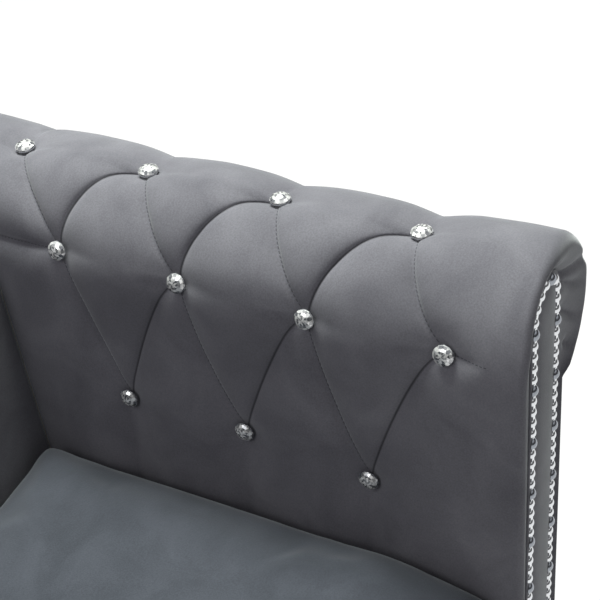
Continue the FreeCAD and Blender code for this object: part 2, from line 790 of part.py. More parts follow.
def spring_path(x, y0, y1, z):
    """One wire in a zigzag: runs across the seat joined by half turns."""
    runs = 2 * int((y1 - y0) / (4 * spring_turn)) + 1
    turn = (y1 - y0) / (2 * (runs - 1))
    edges = []
    for i in range(runs):
        side = 1 if i % 2 == 0 else -1
        y = y0 + 2 * turn * i
        a = Vec(x + side * spring_half_width, y, z)
        edges.append(Part.makeLine(Vec(x - side * spring_half_width, y, z), a))
        if i + 1 < runs:
            m = Vec(x + side * (spring_half_width + turn), y + turn, z)
            b = Vec(x + side * spring_half_width, y + 2 * turn, z)
            edges.append(Part.Arc(a, m, b).toShape())
    return Part.Wire(edges)


def spring_clip(x, y, z, tail):
    """A bent strap round a spring's end run, with a tail nailed to the rail."""
    bore = spring_wire / 2 + fit
    start = Vec(x - clip_length / 2, y, z)
    sleeve = Part.makeCylinder(bore + clip_wall, clip_length, start, Vec(1, 0, 0))
    foot = block(x - clip_length / 2, x + clip_length / 2, min(y, y + tail), max(y, y + tail), rail_top,
                 rail_top + clip_wall)
    strap = sleeve.fuse(foot)
    return strap.cut(Part.makeCylinder(bore, clip_length, start, Vec(1, 0, 0)))


def seat_suspension():
    z = rail_top + clip_wall + fit + spring_wire / 2
    y0 = front_rail_back - timber / 2
    y1 = rear_rail_front + timber / 2
    springs = []
    clips = []
    count = springs_per_seat * seat_count
    for i in range(count):
        x = seat_width * ((i + 0.5) / count - 0.5)
        path = spring_path(x, y0, y1, z)
        start = path.OrderedEdges[0]
        ring = Part.makeCircle(spring_wire / 2, start.firstVertex().Point, Vec(1, 0, 0))
        springs.append(path.makePipeShell([Part.Wire(ring)], True, False))
        clips.append(spring_clip(x, y0, z, -clip_tail / 2))
        clips.append(spring_clip(x, y1, z, clip_tail / 2))
    save("seat_springs", *springs)
    save("spring_clips", *clips)
    low = z + spring_wire / 2 + clip_wall + 2 * fit
    side = half_seat - fit
    save("seat_deck", block(-side, side, border_depth + fit, seat_depth - fit, low, deck_height))


# Loose seat cushions: a cloth case round a foam core

def cushion_section(left, right, share, draw, crown, inset):
    """Section of a cushion at a share of its width; draw pulls it in towards its seams."""
    low = deck_height + fit + inset + draw / 2
    high = cushion_top - inset - draw
    front = inset + draw - lip / 2

    def at(y, z):
        return Vec(left(z) + (right(z) - left(z)) * share, y, z)

    def back(z):
        return seat_depth + lean(z) - cushion_gap - inset - draw

    nose = cushion_nose - inset
    a = at(front + nose / 3, low)
    b = at(front, (low + high - nose) / 2)
    c = at(front + nose / 8, high - nose / 2)
    e = at(front + nose, high)
    d = at(front + nose * 0.42, high - nose * 0.16)
    g = at(back(high) - nose / 3, high - nose / 12)
    f = at((e.y + g.y) / 2, high + crown)
    k = at(back(high - nose / 2), high - nose / 2)
    h = at(back(high - nose / 4) - nose / 14, high - nose / 4)
    m = at(back(low), low)
    edges = [span(a, b, c), span(c, d, e), span(e, f, g), span(g, h, k)]
    return Part.Wire(edges + [Part.makeLine(k, m), Part.makeLine(m, a)])


def cushion_body(left, right, width, inset):
    swell = cushion_swell / width
    half = [(0.0, cushion_draw, 0.1), (swell / 5, cushion_draw / 2, 0.4), (swell, 0.0, 0.8)]
    stations = half + [(0.5, 0.0, 1.0)] + [(1 - share, draw, rise) for share, draw, rise in reversed(half)]
    start = inset / width
    spread = 1 - 2 * start
    sections = [cushion_section(left, right, start + spread * share, draw, rise * cushion_crown, inset)
                for share, draw, rise in stations]
    return Part.makeLoft(sections, True, True)


def cushions():
    third = (half_seat + lean(cushion_top)) / 3

    def arm_side(z):
        return half_seat + lean(z) - cushion_gap

    sides = {
        "left": (lambda z: -arm_side(z), lambda z: -third - cushion_gap / 2),
        "centre": (lambda z: cushion_gap / 2 - third, lambda z: third - cushion_gap / 2),
        "right": (lambda z: third + cushion_gap / 2, arm_side),
    }
    for name, (left, right) in sides.items():
        width = right(deck_height) - left(deck_height)
        case = cushion_body(left, right, width, 0.0).cut(cushion_body(left, right, width, cushion_cloth))
        save("seat_cushion_" + name, case)
        save("cushion_core_" + name, cushion_body(left, right, width, cushion_cloth + fit))


# Turned legs with their plates, hanger bolts and glides

def leg(centre):
    top = base_bottom - plate_thickness
    collar = top - leg_collar
    neck = collar - leg_cove
    shoulder = neck - leg_neck
    toe_radius = leg_foot + (leg_radius - leg_foot) * leg_fullness
    shoulder_radius = leg_waist + (leg_radius - leg_waist) * leg_fullness
    outline = [(0, glide_height), (leg_foot, glide_height), (toe_radius, (glide_height + leg_belly) / 2),
               (leg_radius, leg_belly), (shoulder_radius, (leg_belly + shoulder) / 2), (leg_waist, shoulder),
               (leg_waist, neck), (leg_collar_radius, collar), (leg_collar_radius, top), (0, top)]
    points = [centre + Vec(r, 0, z) for r, z in outline]
    edges = [Part.makeLine(points[0], points[1]), Part.Arc(*points[1:4]).toShape(),
             Part.Arc(*points[3:6]).toShape()]
    edges += [Part.makeLine(a, b) for a, b in zip(points[5:], points[6:] + points[:1])]
    body = Part.Face(Part.Wire(edges)).revolve(centre, Vec(0, 0, 1), 360)
    pin_hole = Part.makeCylinder(glide_pin_radius + fit / 2, glide_pin_length + fit,
                                 centre + Vec(0, 0, glide_height))
    return body.cut(pin_hole)


def feet():
    holes = bolt_holes()
    plates = []
    bolts = []
    glides = []
    for name, centre in leg_places().items():
        save(name, drill(leg(centre), holes))
        half = plate_side / 2
        plate = block(centre.x - half, centre.x + half, centre.y - half, centre.y + half,
                      base_bottom - plate_thickness, base_bottom)
        plates.append(drill(plate, holes))
        low = base_bottom - plate_thickness - bolt_in_leg
        bolts.append(Part.makeCylinder(bolt_radius, bolt_in_leg + plate_thickness + bolt_in_rail,
                                       centre + Vec(0, 0, low)))
        pin_top = glide_height + glide_pin_length
        pad = [(0, 0), (glide_radius - glide_chamfer, 0), (glide_radius, glide_chamfer),
               (glide_radius, glide_height), (glide_pin_radius, glide_height), (glide_pin_radius, pin_top),
               (0, pin_top)]
        glides.append(turned(pad, centre))
    save("leg_plates", *plates)
    save("hanger_bolts", *bolts)
    save("leg_glides", *glides)


base_frame()
arm_frame()
back_frame()
foam_pads()
covers()
buttons()
arm_facing()
outside_panels()
seat_suspension()
cushions()
feet()
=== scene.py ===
# Three-seat chesterfield in grey velvet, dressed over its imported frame
import math
import bmesh
import bpy
from mathutils import Matrix, Vector, noise


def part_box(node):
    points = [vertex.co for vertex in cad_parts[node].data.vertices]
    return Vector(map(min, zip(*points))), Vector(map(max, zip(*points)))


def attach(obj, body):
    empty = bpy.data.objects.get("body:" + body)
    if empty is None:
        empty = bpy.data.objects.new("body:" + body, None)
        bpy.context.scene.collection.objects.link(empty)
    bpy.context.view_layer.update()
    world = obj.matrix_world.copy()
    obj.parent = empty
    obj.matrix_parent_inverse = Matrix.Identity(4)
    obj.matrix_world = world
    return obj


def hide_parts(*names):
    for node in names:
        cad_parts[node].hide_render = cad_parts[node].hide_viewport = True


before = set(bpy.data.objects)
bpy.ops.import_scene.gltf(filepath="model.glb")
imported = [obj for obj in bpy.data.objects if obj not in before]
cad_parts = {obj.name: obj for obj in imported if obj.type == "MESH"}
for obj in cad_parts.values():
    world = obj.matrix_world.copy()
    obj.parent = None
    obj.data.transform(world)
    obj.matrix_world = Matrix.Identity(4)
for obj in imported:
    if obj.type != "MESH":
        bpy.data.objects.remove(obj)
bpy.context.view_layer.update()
scene = bpy.context.scene
print("frame loaded with", len(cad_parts), "nodes")

# The sizes that the upholstery follows, in millimetres
sofa = dict(halfSeat=837.5, seatDepth=505.0, deckHeight=285.0, skirtBottom=104.0, rollHeight=636.0,
            rollRadius=96.0, outerRadius=75.0, rake=0.12, wall=117.0, fit=0.3, quilt=22.0, panel=5.0,
            lip=12.0, facing=9.0, wrapStart=24.0)
mm = 0.001
slope = math.atan(sofa["rake"])
rollAxis = sofa["rake"] * (sofa["rollHeight"] - sofa["deckHeight"]) + sofa["rollRadius"] / math.cos(slope)
rollTop = sofa["rollHeight"] + sofa["rollRadius"]
outerHeight = rollTop - sofa["outerRadius"]
toBack = sofa["lip"] - (sofa["lip"] + sofa["seatDepth"] + rollAxis + sofa["outerRadius"]) / 2
faceRise = sofa["rollHeight"] + sofa["rollRadius"] * math.sin(slope) - sofa["deckHeight"]
faceLength = faceRise / math.cos(slope)


# p is the distance behind the inside face at the deck, s the way up that face and over the roll
def lean(z):
    return max(0.0, sofa["rake"] * (z - sofa["deckHeight"]))


def armPoint(side, p, along, z):
    return Vector((side * (sofa["halfSeat"] + p), along + toBack, z)) * mm


def backPoint(side, p, along, z):
    return Vector((along, sofa["seatDepth"] + p + toBack, z)) * mm


# Materials

def toLinear(code):
    parts = [int(code[i:i + 2], 16) / 255 for i in (1, 3, 5)]
    return [c / 12.92 if c <= 0.04045 else ((c + 0.055) / 1.055) ** 2.4 for c in parts] + [1.0]


def addNode(tree, kind, inputs=None, **settings):
    node = tree.nodes.new(kind)
    for name, value in settings.items():
        setattr(node, name, value)
    for socket, value in (inputs or {}).items():
        if isinstance(value, bpy.types.NodeSocket):
            tree.links.new(value, node.inputs[socket])
        else:
            node.inputs[socket].default_value = value
    return node


def reckon(tree, operation, first, second):
    return addNode(tree, "ShaderNodeMath", {0: first, 1: second}, operation=operation).outputs[0]


def blend(tree, share, first, second, way="MIX"):
    return addNode(tree, "ShaderNodeMix", {0: share, 6: first, 7: second}, data_type="RGBA",
                   blend_type=way).outputs[2]


def remap(tree, value, fromMin=0.0, fromMax=1.0, toMin=0.0, toMax=1.0):
    return addNode(tree, "ShaderNodeMapRange", {"Value": value, "From Min": fromMin, "From Max": fromMax,
                                                "To Min": toMin, "To Max": toMax}).outputs[0]


# Noise with patches of one size
def patches(tree, place, sizeMm, **settings):
    inputs = {"Vector": place, "Scale": 1000 / sizeMm}
    inputs.update({name.capitalize(): value for name, value in settings.items()})
    return addNode(tree, "ShaderNodeTexNoise", inputs).outputs[0]


def bumps(tree, height, strength, distance):
    return addNode(tree, "ShaderNodeBump", {"Strength": strength, "Distance": distance,
                                            "Height": height}).outputs[0]


def meshValue(tree, name):
    return addNode(tree, "ShaderNodeAttribute", attribute_name=name).outputs["Fac"]


def objectPlace(tree):
    return addNode(tree, "ShaderNodeTexCoord").outputs["Object"]


def newMaterial(name):
    material = bpy.data.materials.new(name)
    material.use_nodes = True
    tree = material.node_tree
    tree.nodes.clear()
    return material, tree


def finishMaterial(tree, shader):
    addNode(tree, "ShaderNodeOutputMaterial", {"Surface": shader.outputs[0]})


def principled(tree, inputs):
    finishMaterial(tree, addNode(tree, "ShaderNodeBsdfPrincipled", inputs))


# the seat's two colours are painted shade, a darker copy of the same velvet
velvetLook = dict(dark="#5a5960", light="#6a6970", seatPaintedShadeDark="#393c43", seatPaintedShadeLight="#454850", thread="#48484e",
                  brushMm=70.0, grainMm=1.6, sheen=0.6, sheenRoughness=0.4, sheenTint="#d4d8da", stitchMm=4.2,
                  # creaseCore, creaseMm and creaseShade set a line of painted shade along the folded pleats
                  dashShare=0.6, threadMm=0.5, creaseCore=0.2, creaseMm=1.4, creaseShade=0.4)


# Woven cotton velvet: a short dense pile that is dark face on and pale at a glancing angle,
# with brushed patches where the pile lies another way
def velvet(name, dark, light, stitched=False):
    look = velvetLook
    material, tree = newMaterial(name)
    place = objectPlace(tree)
    brush = patches(tree, place, look["brushMm"], detail=3.0, roughness=0.55, distortion=0.6)
    nap = blend(tree, remap(tree, brush, fromMin=0.3, fromMax=0.7), toLinear(dark), toLinear(light))
    # the pile itself is finer than a pixel, so it is drawn a few times coarser
    grain = patches(tree, place, look["grainMm"], detail=2.0)
    fleck = remap(tree, grain, fromMin=0.25, fromMax=0.75, toMin=0.86, toMax=1.12)
    colour = blend(tree, 1.0, nap, fleck, "MULTIPLY")
    sheen = look["sheen"]
    if stitched:
        # painted shade: a thin line along each folded pleat is darkened, and its sheen dimmed, for the shadow
        # inside the tight fold
        creasePaintedShade = remap(tree, meshValue(tree, "foldAway"), fromMin=look["creaseCore"], fromMax=look["creaseMm"],
                     toMin=look["creaseShade"])
        colour = blend(tree, 1.0, colour, creasePaintedShade, "MULTIPLY")
        sheen = reckon(tree, "MULTIPLY", creasePaintedShade, look["sheen"])
        # the thread shows as dashes along a stitched seam
        near = reckon(tree, "LESS_THAN", meshValue(tree, "seamAway"), look["threadMm"])
        turn = reckon(tree, "MODULO", meshValue(tree, "seamRun"), look["stitchMm"])
        dash = reckon(tree, "LESS_THAN", turn, look["stitchMm"] * look["dashShare"])
        colour = blend(tree, reckon(tree, "MULTIPLY", near, dash), colour, toLinear(look["thread"]))
    principled(tree, {
        "Base Color": colour, "Roughness": 0.9, "Specular IOR Level": 0.1, "Sheen Weight": sheen,
        "Sheen Roughness": look["sheenRoughness"], "Sheen Tint": toLinear(look["sheenTint"]),
        "Normal": bumps(tree, grain, strength=0.25, distance=0.0006)})
    return material


woodLook = dict(uneven=0.08)


# Wood shows long grain streaks along one axis and slightly uneven polish
def wood(name, dark, light, grainMm, lengthMm, along, roughness, coat):
    material, tree = newMaterial(name)
    scale = [1000 / grainMm] * 3
    scale[along] = 1000 / lengthMm
    run = addNode(tree, "ShaderNodeMapping", {"Vector": objectPlace(tree), "Scale": scale}).outputs[0]
    grain = addNode(tree, "ShaderNodeTexNoise", {"Vector": run, "Scale": 1.0, "Detail": 5.0,
                                                 "Distortion": 0.8}).outputs[0]
    colour = blend(tree, remap(tree, grain, fromMin=0.3, fromMax=0.7), toLinear(dark), toLinear(light))
    gloss = remap(tree, grain, toMin=roughness - woodLook["uneven"], toMax=roughness + woodLook["uneven"])
    principled(tree, {"Base Color": colour, "Roughness": gloss, "Coat Weight": coat, "Coat Roughness": 0.12,
                      "Normal": bumps(tree, grain, strength=0.2, distance=0.0004)})
    return material


# Metal with a faint cloudiness in its polish or plating
def metal(name, code, roughness, cloudMm, spread):
    material, tree = newMaterial(name)
    cloud = patches(tree, objectPlace(tree), cloudMm, detail=3.0)
    gloss = remap(tree, cloud, toMin=roughness, toMax=roughness + spread)
    principled(tree, {"Base Color": toLinear(code), "Metallic": 1.0, "Roughness": gloss})
    return material


weaveLook = dict(bandMm=314.2)  # width of a wave node's band at a scale of 1


# Plain weave: two crossed sets of threads, drawn coarser than real ones so that they show
def weave(name, dark, light, threadMm, roughness):
    material, tree = newMaterial(name)
    inputs = {"Vector": objectPlace(tree), "Scale": weaveLook["bandMm"] / threadMm / 2, "Distortion": 0.6,
              "Detail": 1.0}
    waves = [addNode(tree, "ShaderNodeTexWave", inputs, bands_direction=axis).outputs["Fac"] for axis in "XY"]
    cloth = reckon(tree, "MULTIPLY", *waves)
    principled(tree, {"Base Color": blend(tree, cloth, toLinear(dark), toLinear(light)),
                      "Roughness": roughness, "Normal": bumps(tree, cloth, strength=0.3, distance=0.0005)})
    return material


glassLook = dict(dark="#4c4f57", bright="#ffffff", smearMm=4.0, clean=0.02, smeared=0.06)


# Cut glass with a silvered back, under a clear coat: each facet's colour is painted bright or dark, a painted
# reflection of facets flashing or going dark
def silveredGlass(name):
    material, tree = newMaterial(name)
    colour = blend(tree, meshValue(tree, "paintedReflection"), toLinear(glassLook["dark"]), toLinear(glassLook["bright"]))
    smear = patches(tree, objectPlace(tree), glassLook["smearMm"])
    gloss = remap(tree, smear, toMin=glassLook["clean"], toMax=glassLook["smeared"])
    principled(tree, {"Base Color": colour, "Metallic": 0.5, "Roughness": gloss, "Coat Weight": 1.0,
                      "Coat Roughness": 0.01})
    return material


nylonLook = dict(dark="#161616", light="#222222", peelMm=1.5)


# Moulded nylon: smooth and dark with a slight orange-peel
def mouldedNylon(name):
    material, tree = newMaterial(name)
    peel = patches(tree, objectPlace(tree), nylonLook["peelMm"])
    colour = blend(tree, peel, toLinear(nylonLook["dark"]), toLinear(nylonLook["light"]))
    principled(tree, {"Base Color": colour, "Roughness": 0.45,
                      "Normal": bumps(tree, peel, strength=0.15, distance=0.0003)})
    return material


plainVelvet = velvet("greyCottonVelvetWoven", velvetLook["dark"], velvetLook["light"])
tuftedVelvet = velvet("greyCottonVelvetStitched", velvetLook["dark"], velvetLook["light"], stitched=True)
# painted shade: on the seats the pile lies towards the sitter's knees, and the seats take a darker copy of
# the same velvet to stand in for the light that this pile swallows
seatVelvetPaintedShade = velvet("greyCottonVelvetSeatPaintedShade", velvetLook["seatPaintedShadeDark"], velvetLook["seatPaintedShadeLight"])
sawnBeech = wood("beechSawn", "#b98f63", "#d9b78b", grainMm=3.0, lengthMm=90.0, along=0, roughness=0.7,
                 coat=0.0)
birchPly = wood("birchPlywoodSanded", "#c9a97c", "#e2c9a0", grainMm=4.0, lengthMm=120.0, along=2,
                roughness=0.65, coat=0.0)
stainedBeech = wood("beechTurnedStainedLacquered", "#1d110b", "#3a2417", grainMm=2.5, lengthMm=60.0, along=2,
                    roughness=0.35, coat=0.5)
springSteel = metal("springSteelDrawn", "#7d7f82", roughness=0.3, cloudMm=12.0, spread=0.15)
zincSteel = metal("steelZincPlated", "#a9adb2", roughness=0.32, cloudMm=8.0, spread=0.2)
cupMetal = metal("brassNickelPlated", "#cfd0d2", roughness=0.12, cloudMm=6.0, spread=0.08)
stripMetal = metal("steelStripChromed", "#dfe1e4", roughness=0.08, cloudMm=5.0, spread=0.06)
# painted shade: the nails' chrome is drawn darker than the strip's, for the dark surroundings their beads
# reflect
nailMetalPaintedShade = metal("steelNailChromedPaintedShade", "#9599a0", roughness=0.14, cloudMm=5.0, spread=0.08)
jute = weave("juteWebbingWoven", "#7a6340", "#b39a6c", threadMm=2.4, roughness=0.85)
deckCotton = weave("cottonPlatformClothWoven", "#38383d", "#55555b", threadMm=1.6, roughness=0.9)
dustCambric = weave("polyesterCambricWoven", "#0f0f11", "#26262a", threadMm=1.2, roughness=0.85)
cutCrystal = silveredGlass("cutGlassSilvered")
glideNylon = mouldedNylon("nylonMoulded")
print("materials made")


# Pieces, hung on the frame's bodies in place of the nodes they replace

def addPiece(name, bm, material, smooth=True):
    mesh = bpy.data.meshes.new(name)
    bm.to_mesh(mesh)
    bm.free()
    mesh.materials.append(material)
    if smooth:
        mesh.shade_smooth()
    else:
        mesh.shade_flat()
    piece = bpy.data.objects.new(name, mesh)
    scene.collection.objects.link(piece)
    return piece


def upholster(piece, *nodes, fill, slot="velvet", body="frame"):
    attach(piece, body)
    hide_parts(*nodes)


def thicken(piece, name, amount):
    thick = piece.modifiers.new(name, "SOLIDIFY")
    thick.thickness = amount
    thick.offset = -1.0


def newVerts(grown):
    return [g for g in grown if isinstance(g, bmesh.types.BMVert)]


def roundEdges(bm, edges, width, steps):
    bmesh.ops.bevel(bm, geom=edges, offset=width, segments=steps, affect="EDGES", profile=0.5, material=-1)


def splitAt(bm, spot, across):
    everything = bm.verts[:] + bm.edges[:] + bm.faces[:]
    bmesh.ops.bisect_plane(bm, geom=everything, plane_co=spot, plane_no=across)


# The roll's section, its inner half wider than its outer half: rows of buttons, and the cover's outer end
rollRows = dict(lowHeight=512.0, middleRise=35.0, overlap=1.5)
lowRow = (rollRows["lowHeight"] - sofa["deckHeight"]) / math.cos(slope)
middleRow = faceLength + sofa["rollRadius"] * (math.asin(rollRows["middleRise"] / sofa["rollRadius"]) - slope)
topRow = faceLength + sofa["rollRadius"] * (math.pi / 2 - slope)
padBottom = outerHeight - (sofa["outerRadius"] - sofa["quilt"] - sofa["fit"])
endReach = sofa["wall"] - sofa["panel"] + lean(padBottom) + rollRows["overlap"] - rollAxis
endTurn = math.pi / 2 + math.acos(endReach / (sofa["outerRadius"] - sofa["quilt"]))
coverEnd = topRow + sofa["outerRadius"] * endTurn


# Place of the crest at s, and the direction that leads into the padding there
def crest(s):
    if s <= faceLength:
        return (s * math.sin(slope), sofa["deckHeight"] + s * math.cos(slope),
                math.cos(slope), -math.sin(slope))
    if s <= topRow:
        angle = math.pi / 2 + (topRow - s) / sofa["rollRadius"]
        radius, height = sofa["rollRadius"], sofa["rollHeight"]
    else:
        angle = math.pi / 2 - (s - topRow) / sofa["outerRadius"]
        radius, height = sofa["outerRadius"], outerHeight
    return (rollAxis + radius * math.cos(angle), height + radius * math.sin(angle),
            -math.cos(angle), -math.sin(angle))


# Tufting: q counts pitches along a wall, each row's buttons tied by hand a little off the even pattern
armWall = dict(
    place=armPoint, qLow=-0.45, qHigh=4.2, perPitch=60, lowEnd=lambda p: sofa["wrapStart"],
    highEnd=lambda p: sofa["seatDepth"] + p - 2 * sofa["fit"],
    low=dict(s=lowRow, buttons=[0.5, 1.5, 2.5], first=145.0, pitch=133.0, hand=[-9.0, 5.0, 4.0]),
    middle=dict(s=middleRow, buttons=[0.0, 1.0, 2.0, 3.0], first=67.5, pitch=135.0,
                hand=[-2.0, -2.0, 1.0, 3.0]),
    top=dict(s=topRow, buttons=[0.5, 1.5, 2.5, 3.5], first=121.0, pitch=143.0, hand=[0.0, 2.0, 0.0, -5.0]))
backWall = dict(
    place=backPoint, qLow=-7.2, qHigh=7.2, perPitch=30, lowEnd=lambda p: -sofa["halfSeat"] - p,
    highEnd=lambda p: sofa["halfSeat"] + p,
    low=dict(s=lowRow, buttons=[i - 5.5 for i in range(12)], first=-742.5, pitch=135.0, hand=[0.0] * 12),
    middle=dict(s=middleRow, buttons=[float(i - 6) for i in range(13)], first=-810.0, pitch=135.0,
                hand=[0.0] * 13),
    top=dict(s=topRow, buttons=[i - 6.5 for i in range(14)], first=-877.5, pitch=135.0, hand=[0.0] * 14))
tuft = dict(pitch=135.0, pleat=11.5, pleatOver=6.5, pleatSeat=2.5, button=14.0, buttonReach=25.0,
            buttonEdge=1.3, sharp=0.45, floor=0.01, seam=120.0, slant=0.8, endFade=34.0, cornerDip=7.0,
            cornerReach=22.0, ripple=0.7, rippleSize=38.0, rippleApart=300.0, calmReach=60.0, cloth=3.0,
            foldTop=0.9, stitchTop=0.12, foldLow=0.36, stitchLow=0.08, foldBack=0.45, bowFade=0.4,
            swell=5.0, swellReach=115.0, swellPast=20.0, swellWide=75.0, moreLow=4, moreOver=16,
            tuckSeat=(14.0, -2.0), tuckOver=(-12.0, 2.0), inFront=(-60.0, 250.0, 560.0), fill=0.8)
farAway = 99.0


def betweenKnots(knots, x):
    for (x0, y0), (x1, y1) in zip(knots, knots[1:]):
        if x <= x1:
            return y0 + (y1 - y0) * (x - x0) / (x1 - x0)
    return knots[-1][1]


def rowAlong(wall, row, q, p):
    first, last = row["buttons"][0], row["buttons"][-1]
    if q < first:
        end = wall["lowEnd"](p)
        return end + (row["first"] - end) * (q - wall["qLow"]) / (first - wall["qLow"])
    reach = row["first"] + row["pitch"] * (min(q, last) - first)
    if q <= last:
        return reach
    return reach + (wall["highEnd"](p) - reach) * (q - last) / (wall["qHigh"] - last)


def handSet(wall, q, s):
    knots = [(0.0, 0.0)]
    for name in ("low", "middle", "top"):
        row = wall[name]
        ends = [(wall["qLow"], 0.0)] + list(zip(row["buttons"], row["hand"])) + [(wall["qHigh"], 0.0)]
        knots.append((row["s"], betweenKnots(ends, q)))
    return s + betweenKnots(knots + [(coverEnd, 0.0)], s)


def wallPlace(wall, q, s, inset):
    p, z, intoP, intoZ = crest(s)
    p += inset * intoP
    z += inset * intoZ
    low, middle, top = [rowAlong(wall, wall[name], q, p) for name in ("low", "middle", "top")]
    if s <= middleRow:
        along = low + (middle - low) * max(0.0, (s - lowRow) / (middleRow - lowRow))
    else:
        along = middle + (top - middle) * min(1.0, (s - middleRow) / (topRow - middleRow))
    return p, along, z


def offPleat(x, first, last):
    return abs(x - min(max(round(x), first), last))


# Share of full height between two pleats, nothing on a pleat and one halfway to the next
def lane(x, first, last):
    away = min(offPleat(x, first, last), 0.5)
    return 4 * away * (1 - away)


def rowShare(s):
    if s <= middleRow:
        return (s - middleRow) / (middleRow - lowRow)
    return (s - middleRow) / (topRow - middleRow)


# Where a spot lies across the two families of pleats, with the first and last pleat of each
def pleatLines(wall, q, s):
    t = rowShare(s)
    step = min(abs(t), 1.0) / 2
    far = wall["top"] if t > 0 else wall["low"]
    firstMiddle, lastMiddle = wall["middle"]["buttons"][0], wall["middle"]["buttons"][-1]
    firstFar, lastFar = far["buttons"][0], far["buttons"][-1]
    return ((q + step, max(firstMiddle, firstFar + 0.5), min(lastMiddle, lastFar + 0.5)),
            (q - step, max(firstMiddle, firstFar - 0.5), min(lastMiddle, lastFar - 0.5)))


# Distance to the seam that runs level from the middle row's last buttons to the wall's ends
def endSeamAway(wall, q, s):
    buttons = wall["middle"]["buttons"]
    past = max(0.0, min(q - buttons[0], buttons[-1] - q))
    return math.hypot(past * tuft["pitch"], s - middleRow)


# Folded pleats leave one button steeply and come in flat to the other; stitched ones bow less
def pleatBow(wall, q, s):
    t = rowShare(s)
    share = abs(t)
    if share >= 1.0:
        return 0.0
    first, second = [lane(*line) for line in pleatLines(wall, q, s)]
    steep = share - 1 + math.sqrt(1 - share * share)
    flat = math.sqrt(1 - (1 - share) ** 2) - share
    stitch = math.sin(math.pi * share)
    if wall is backWall:
        bow = tuft["foldBack"] * (steep if t > 0 else -flat)
        moves = bow, -bow
    elif t > 0:
        moves = tuft["foldTop"] * steep, tuft["stitchTop"] * stitch
    else:
        moves = tuft["stitchLow"] * stitch, tuft["foldLow"] * flat
    move = (moves[0] * second + moves[1] * first) / (first + second + 1e-6)
    ends = (q - wall["qLow"]) / tuft["bowFade"], (wall["qHigh"] - q) / tuft["bowFade"]
    return move / 2 * max(0.0, min(1.0, *ends))


# Depth of the cover below its crest
def drawIn(wall, q, s):
    t = rowShare(s)
    fill = 1.0
    for line in pleatLines(wall, q, s):
        fill *= lane(*line)
    fill *= lane(endSeamAway(wall, q, s) / tuft["seam"], 0, 0)
    power, floor = tuft["sharp"], tuft["floor"]
    height = ((fill + floor) ** power - floor ** power) / ((1 + floor) ** power - floor ** power)
    depth = tuft["pleat"]
    if t > 1:
        depth = tuft["pleatOver"]
    elif t > 0:
        depth += (tuft["pleatOver"] - depth) * max(0.0, t - 0.5) * 2
    elif t < -1:
        depth = tuft["pleatSeat"] + (depth - tuft["pleatSeat"]) * s / lowRow
    drop = depth * (1 - height)
    hollow = 0.0
    for name in ("low", "middle", "top"):
        row = wall[name]
        nearest = min(max(round(q - row["buttons"][0]), 0), len(row["buttons"]) - 1)
        away = math.hypot((q - row["buttons"][nearest]) * tuft["pitch"], s - row["s"])
        dip = math.exp(-(away / tuft["buttonReach"]) ** tuft["buttonEdge"])
        hollow = max(hollow, tuft["button"] * dip)
    return (drop ** 3 + hollow ** 3) ** (1 / 3)


def easeIn(share):
    share = max(0.0, min(1.0, share))
    return share * share * (3 - 2 * share)


# The roll is stuffed fuller towards its front end
def frontSwell(s, along):
    over = math.exp(-((s - topRow - tuft["swellPast"]) / tuft["swellWide"]) ** 2)
    share = (tuft["swellReach"] - along) / (tuft["swellReach"] - sofa["wrapStart"])
    return tuft["swell"] * over * easeIn(share)


# The front wrap: the cover turns round the arm's front, lies against it and tucks in beside the facing
wrap = dict(returns=8, rounds=8, bands=22, sinks=3, belowRows=24, outerRows=50, outerTop=581.0, outline=0.6,
            roundInner=6.0, roundOuter=7.0, turnShare=0.55, fullOver=6.0, gap=1.2, facingInner=42.0,
            facingOuter=108.0, facingTop=716.0, tuckInner=647.0, tuckOuter=584.0, lipOuter=4.0, meet=1.5,
            sinkTo=7.0, proud=0.3, gatherBelow=60.0, gatherGrow=1.6, gatherAcross=0.4)
# rounding of the front edge over the roll: distance past the top row, radius
rollRounding = ((-20.0, 7.0), (20.0, 14.0), (60.0, 14.0), (110.0, 7.0))
archRadius = (wrap["facingOuter"] - wrap["facingInner"]) / 2
archSpring = wrap["facingTop"] - archRadius
archMiddle = (wrap["facingOuter"] + wrap["facingInner"]) / 2


def lipFront(p):
    across = p / (rollAxis + sofa["outerRadius"])
    return -sofa["lip"] + (sofa["lip"] - wrap["lipOuter"]) * max(0.0, min(1.0, across))


# Where the wrapped cloth meets the facing, for a share of the way over the roll
def tuckPoint(share):
    radius = archRadius + wrap["gap"]
    innerRun, outerRun = archSpring - wrap["tuckInner"], archSpring - wrap["tuckOuter"]
    arch = math.pi * radius
    run = share * (innerRun + arch + outerRun)
    if run < innerRun:
        v, z = archMiddle - radius, wrap["tuckInner"] + run
    elif run < innerRun + arch:
        angle = math.pi - (run - innerRun) / radius
        v, z = archMiddle + radius * math.cos(angle), archSpring + radius * math.sin(angle)
    else:
        v, z = archMiddle + radius, archSpring - (run - innerRun - arch)
    return v + lean(z), z


# Outline of the arm's front at one row: the outer point and the point by the facing
def wrapEnds(kind, value):
    if kind == "below":
        return (0.0, value), (wrap["facingInner"] - wrap["gap"], value)
    if kind == "outer":
        v = lean(value)
        return (sofa["wall"] + wrap["outline"] + v, value), (wrap["facingOuter"] + wrap["gap"] + v, value)
    p, z, intoP, intoZ = crest(value)
    swell = frontSwell(value, sofa["wrapStart"])
    p, z = p - swell * intoP, z - swell * intoZ
    if value <= faceLength:
        return (p, z), (wrap["facingInner"] - wrap["gap"] + lean(z), z)
    return (p, z), tuckPoint((value - faceLength) / (coverEnd - faceLength))


